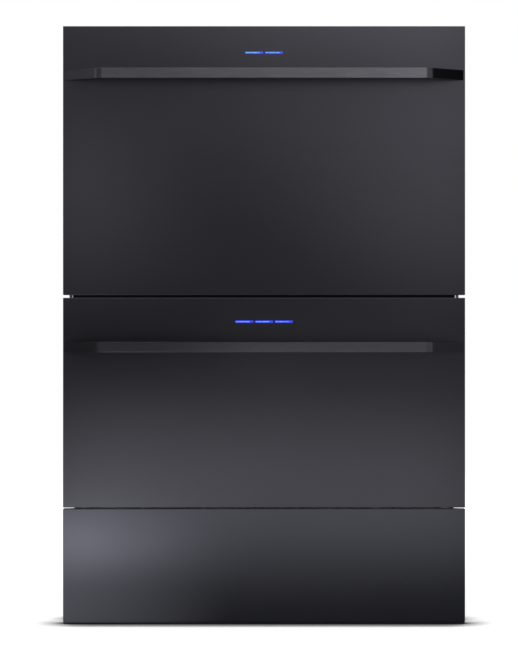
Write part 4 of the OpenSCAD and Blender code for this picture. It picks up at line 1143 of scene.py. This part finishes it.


# Two Ambient Occlusion probes paint shade into the floor: the short one where floor and plinth
# almost meet, the long one under the appliance. Their product darkens both the floor's colour and
# its glow.
contact = calculate(tree, "POWER", openness(0.055), 5)
below = calculate(tree, "MINIMUM", calculate(tree, "MULTIPLY", openness(0.25), 2.2), 1)
shadow = calculate(tree, "MULTIPLY", contact, below)
for level, socket in ((0.8, shader.inputs["Base Color"]), (1.4, bright.inputs["Strength"])):
    links.new(calculate(tree, "MULTIPLY", shadow, level), socket)
rays = made.new("ShaderNodeLightPath")
blend = made.new("ShaderNodeMixShader")
own_light = calculate(tree, "MULTIPLY", rays.outputs["Is Camera Ray"], 0.6)
links.new(own_light, blend.inputs["Fac"])
links.new(shader.outputs["BSDF"], blend.inputs[1])
links.new(bright.outputs["Emission"], blend.inputs[2])
links.new(blend.outputs["Shader"], made["Material Output"].inputs["Surface"])
floor.data.materials.append(paint)
print("floor paint nodes:", len(made))


# %% Lamps
def area_lamp(name, place, target, width, height, watts):
    let_go()
    bpy.ops.object.light_add(type="AREA", location=place)
    lamp = bpy.context.object
    lamp.name = name
    lamp.data.shape = "RECTANGLE"
    lamp.data.size, lamp.data.size_y = width, height
    lamp.data.energy = watts
    lamp.rotation_euler = (Vector(target) - Vector(place)).to_track_quat("-Z", "Y").to_euler()
    return lamp


area_lamp("top_box", (-0.6, -1.2, 2.9), (0, 0, 0.4), 2.6, 2.0, 38)
area_lamp("left_box", (-2.8, -1.6, 1.3), (0, 0, 0.5), 1.4, 2.0, 16)
area_lamp("right_box", (2.6, 1.0, 1.7), (0.2, 0.1, 0.5), 1.2, 2.0, 14)
area_lamp("back_box", (0.8, 2.8, 2.0), (0, 0.2, 0.5), 2.0, 1.6, 18)


# %% Reflection card
def card(name, low, high):
    let_go()
    bpy.ops.mesh.primitive_plane_add(size=1, location=halfway(low, high))
    sheet = bpy.context.object
    width, depth, height = [b - a for a, b in zip(low, high)]
    if height > 0:
        sheet.rotation_euler = (math.pi / 2, 0, 0 if depth == 0 else math.pi / 2)
        sheet.scale = (width if depth == 0 else depth, height, 1)
    else:
        sheet.scale = (width, depth, 1)
    settle(sheet, name)
    sheet.visible_camera = False
    sheet.visible_diffuse = False
    sheet.visible_shadow = False
    sheet.visible_transmission = False
    sheet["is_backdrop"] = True
    return sheet


def paint_card(sheet, name):
    paint = bpy.data.materials.new(name)
    paint.use_nodes = True
    tree = paint.node_tree
    tree.nodes.clear()
    output = tree.nodes.new("ShaderNodeOutputMaterial")
    glow = tree.nodes.new("ShaderNodeEmission")
    tree.links.new(glow.outputs["Emission"], output.inputs["Surface"])
    sheet.data.materials.append(paint)
    return tree, glow.inputs["Strength"]


def soft_spot(tree, where, middle, size, strength):
    mapping = set_inputs(tree.nodes.new("ShaderNodeMapping"), Location=middle, Scale=size)
    mapping.vector_type = "TEXTURE"
    tree.links.new(where, mapping.inputs["Vector"])
    ball = tree.nodes.new("ShaderNodeTexGradient")
    ball.gradient_type = "SPHERICAL"
    tree.links.new(mapping.outputs["Vector"], ball.inputs["Vector"])
    return calculate(tree, "MULTIPLY", ball.outputs["Fac"], strength)


card_y = front_face - 0.5
card_top = 1.5
card_half = 0.38
print("the card stands", round(front_face - card_y, 2), "m in front of the doors")

# %% Card in front
front_card = card("front_card", (-card_half, card_y, 0), (card_half, card_y, card_top))
tree, strength = paint_card(front_card, "card_glow")
made, links = tree.nodes, tree.links
where = made.new("ShaderNodeTexCoord").outputs["Object"]
split = made.new("ShaderNodeSeparateXYZ")
links.new(where, split.inputs["Vector"])
spread = set_inputs(made.new("ShaderNodeMapRange"), From_Max=card_top)
links.new(split.outputs["Z"], spread.inputs["Value"])
ramp = made.new("ShaderNodeValToRGB")
ramp.color_ramp.interpolation = "EASE"
links.new(spread.outputs["Result"], ramp.inputs["Fac"])
levels = [
    (0.0, 0.22), (0.05, 0.6), (0.1, 1.2), (0.15, 1.25), (0.22, 1.12), (0.27, 0.78), (0.32, 0.42),
    (0.355, 0.16), (0.385, 0.0), (0.455, 0.0), (0.487, 0.27), (0.52, 0.23), (0.6, 0.22),
    (0.7, 0.18), (0.76, 0.22), (0.82, 0.1), (0.86, 0.05), (0.9, 0.02), (0.945, 0.45),
    (1.02, 0.8), (1.3, 1.0),
]
for number, (height, level) in enumerate(levels):
    elements = ramp.color_ramp.elements
    element = elements[number] if number < 2 else elements.new(height / card_top)
    element.position = height / card_top
    element.color = (level, level, level, 1)
spots = [
    # x, z, width, height, strength
    (0.85, 0.97, 1.1, 0.6, 2.0),
    (-0.65, 0.76, 0.6, 0.3, 0.93),
    (-0.8, 0.12, 0.8, 0.3, 0.22),
    (-0.54, 0.078, 0.48, 0.066, 6.9),
    (0.17, 0.405, 0.28, 0.026, 0.7),
    (0.34, 0.41, 0.3, 0.026, 0.5),
    (0.7, 0.6, 0.7, 0.16, 0.45),
    (-0.5, 0.62, 0.45, 0.2, 0.5),
    (0.2, 0.87, 0.5, 0.08, -0.26),
    (-0.05, 0.86, 0.22, 0.1, 0.24),
    (-0.01, 0.4, 0.15, 0.026, 0.75),
    (0.5, 0.8, 0.35, 0.12, 0.42),
]
total = ramp.outputs["Color"]
for x, z, width, height, amount in spots:
    spot = soft_spot(tree, where, (x, card_y, z), (width, 1, height), amount)
    total = calculate(tree, "ADD", total, spot)
links.new(total, strength)
print("front card:", len(levels), "levels and", len(spots), "soft spots")

# %% Cards below and at the sides
low_card = card("low_card", (-1.2, card_y, 0.002), (1.2, front_face, 0.002))
tree, strength = paint_card(low_card, "low_card_paint")
where = tree.nodes.new("ShaderNodeTexCoord").outputs["Object"]
spot = soft_spot(tree, where, (-0.55, card_y + 0.32, 0), (0.5, 0.62, 1), 2.1)
tree.links.new(calculate(tree, "ADD", 0.11, spot), strength)

side_cards = [
    ("left_wing", (-1.2, card_y, 0), (-card_half, card_y, card_top), 0.12),
    ("right_wing", (card_half, card_y, 0), (1.2, card_y, card_top), 0.25),
    ("left_near", (-0.55, front_face - 0.35, 0.62), (-0.55, front_face - 0.22, 1.1), 0.05),
    ("left_strip", (-0.55, front_face - 0.22, 0.62), (-0.55, front_face - 0.16, 1.1), 0.5),
    ("left_far", (-0.55, front_face - 0.16, 0.62), (-0.55, front_face + 0.25, 1.1), 0.1),
    ("left_low", (-0.55, front_face - 0.35, 0.2), (-0.55, front_face + 0.25, 0.62), 0.0),
    ("right_near", (0.55, front_face - 0.35, 0.2), (0.55, front_face - 0.21, 1.0), 0.35),
    ("right_far", (0.55, front_face - 0.21, 0.62), (0.55, front_face + 0.25, 1.1), 0.0),
    ("right_low", (0.55, front_face - 0.21, 0.2), (0.55, front_face + 0.25, 0.62), 0.1),
]
for name, low, high, level in side_cards:
    _, strength = paint_card(card(name, low, high), name + "_paint")
    strength.default_value = level
print("side cards:", len(side_cards))

# %% Write the sizes down and finish
low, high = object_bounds()
print("visual box:", [round(v, 4) for v in (*low, *high)])
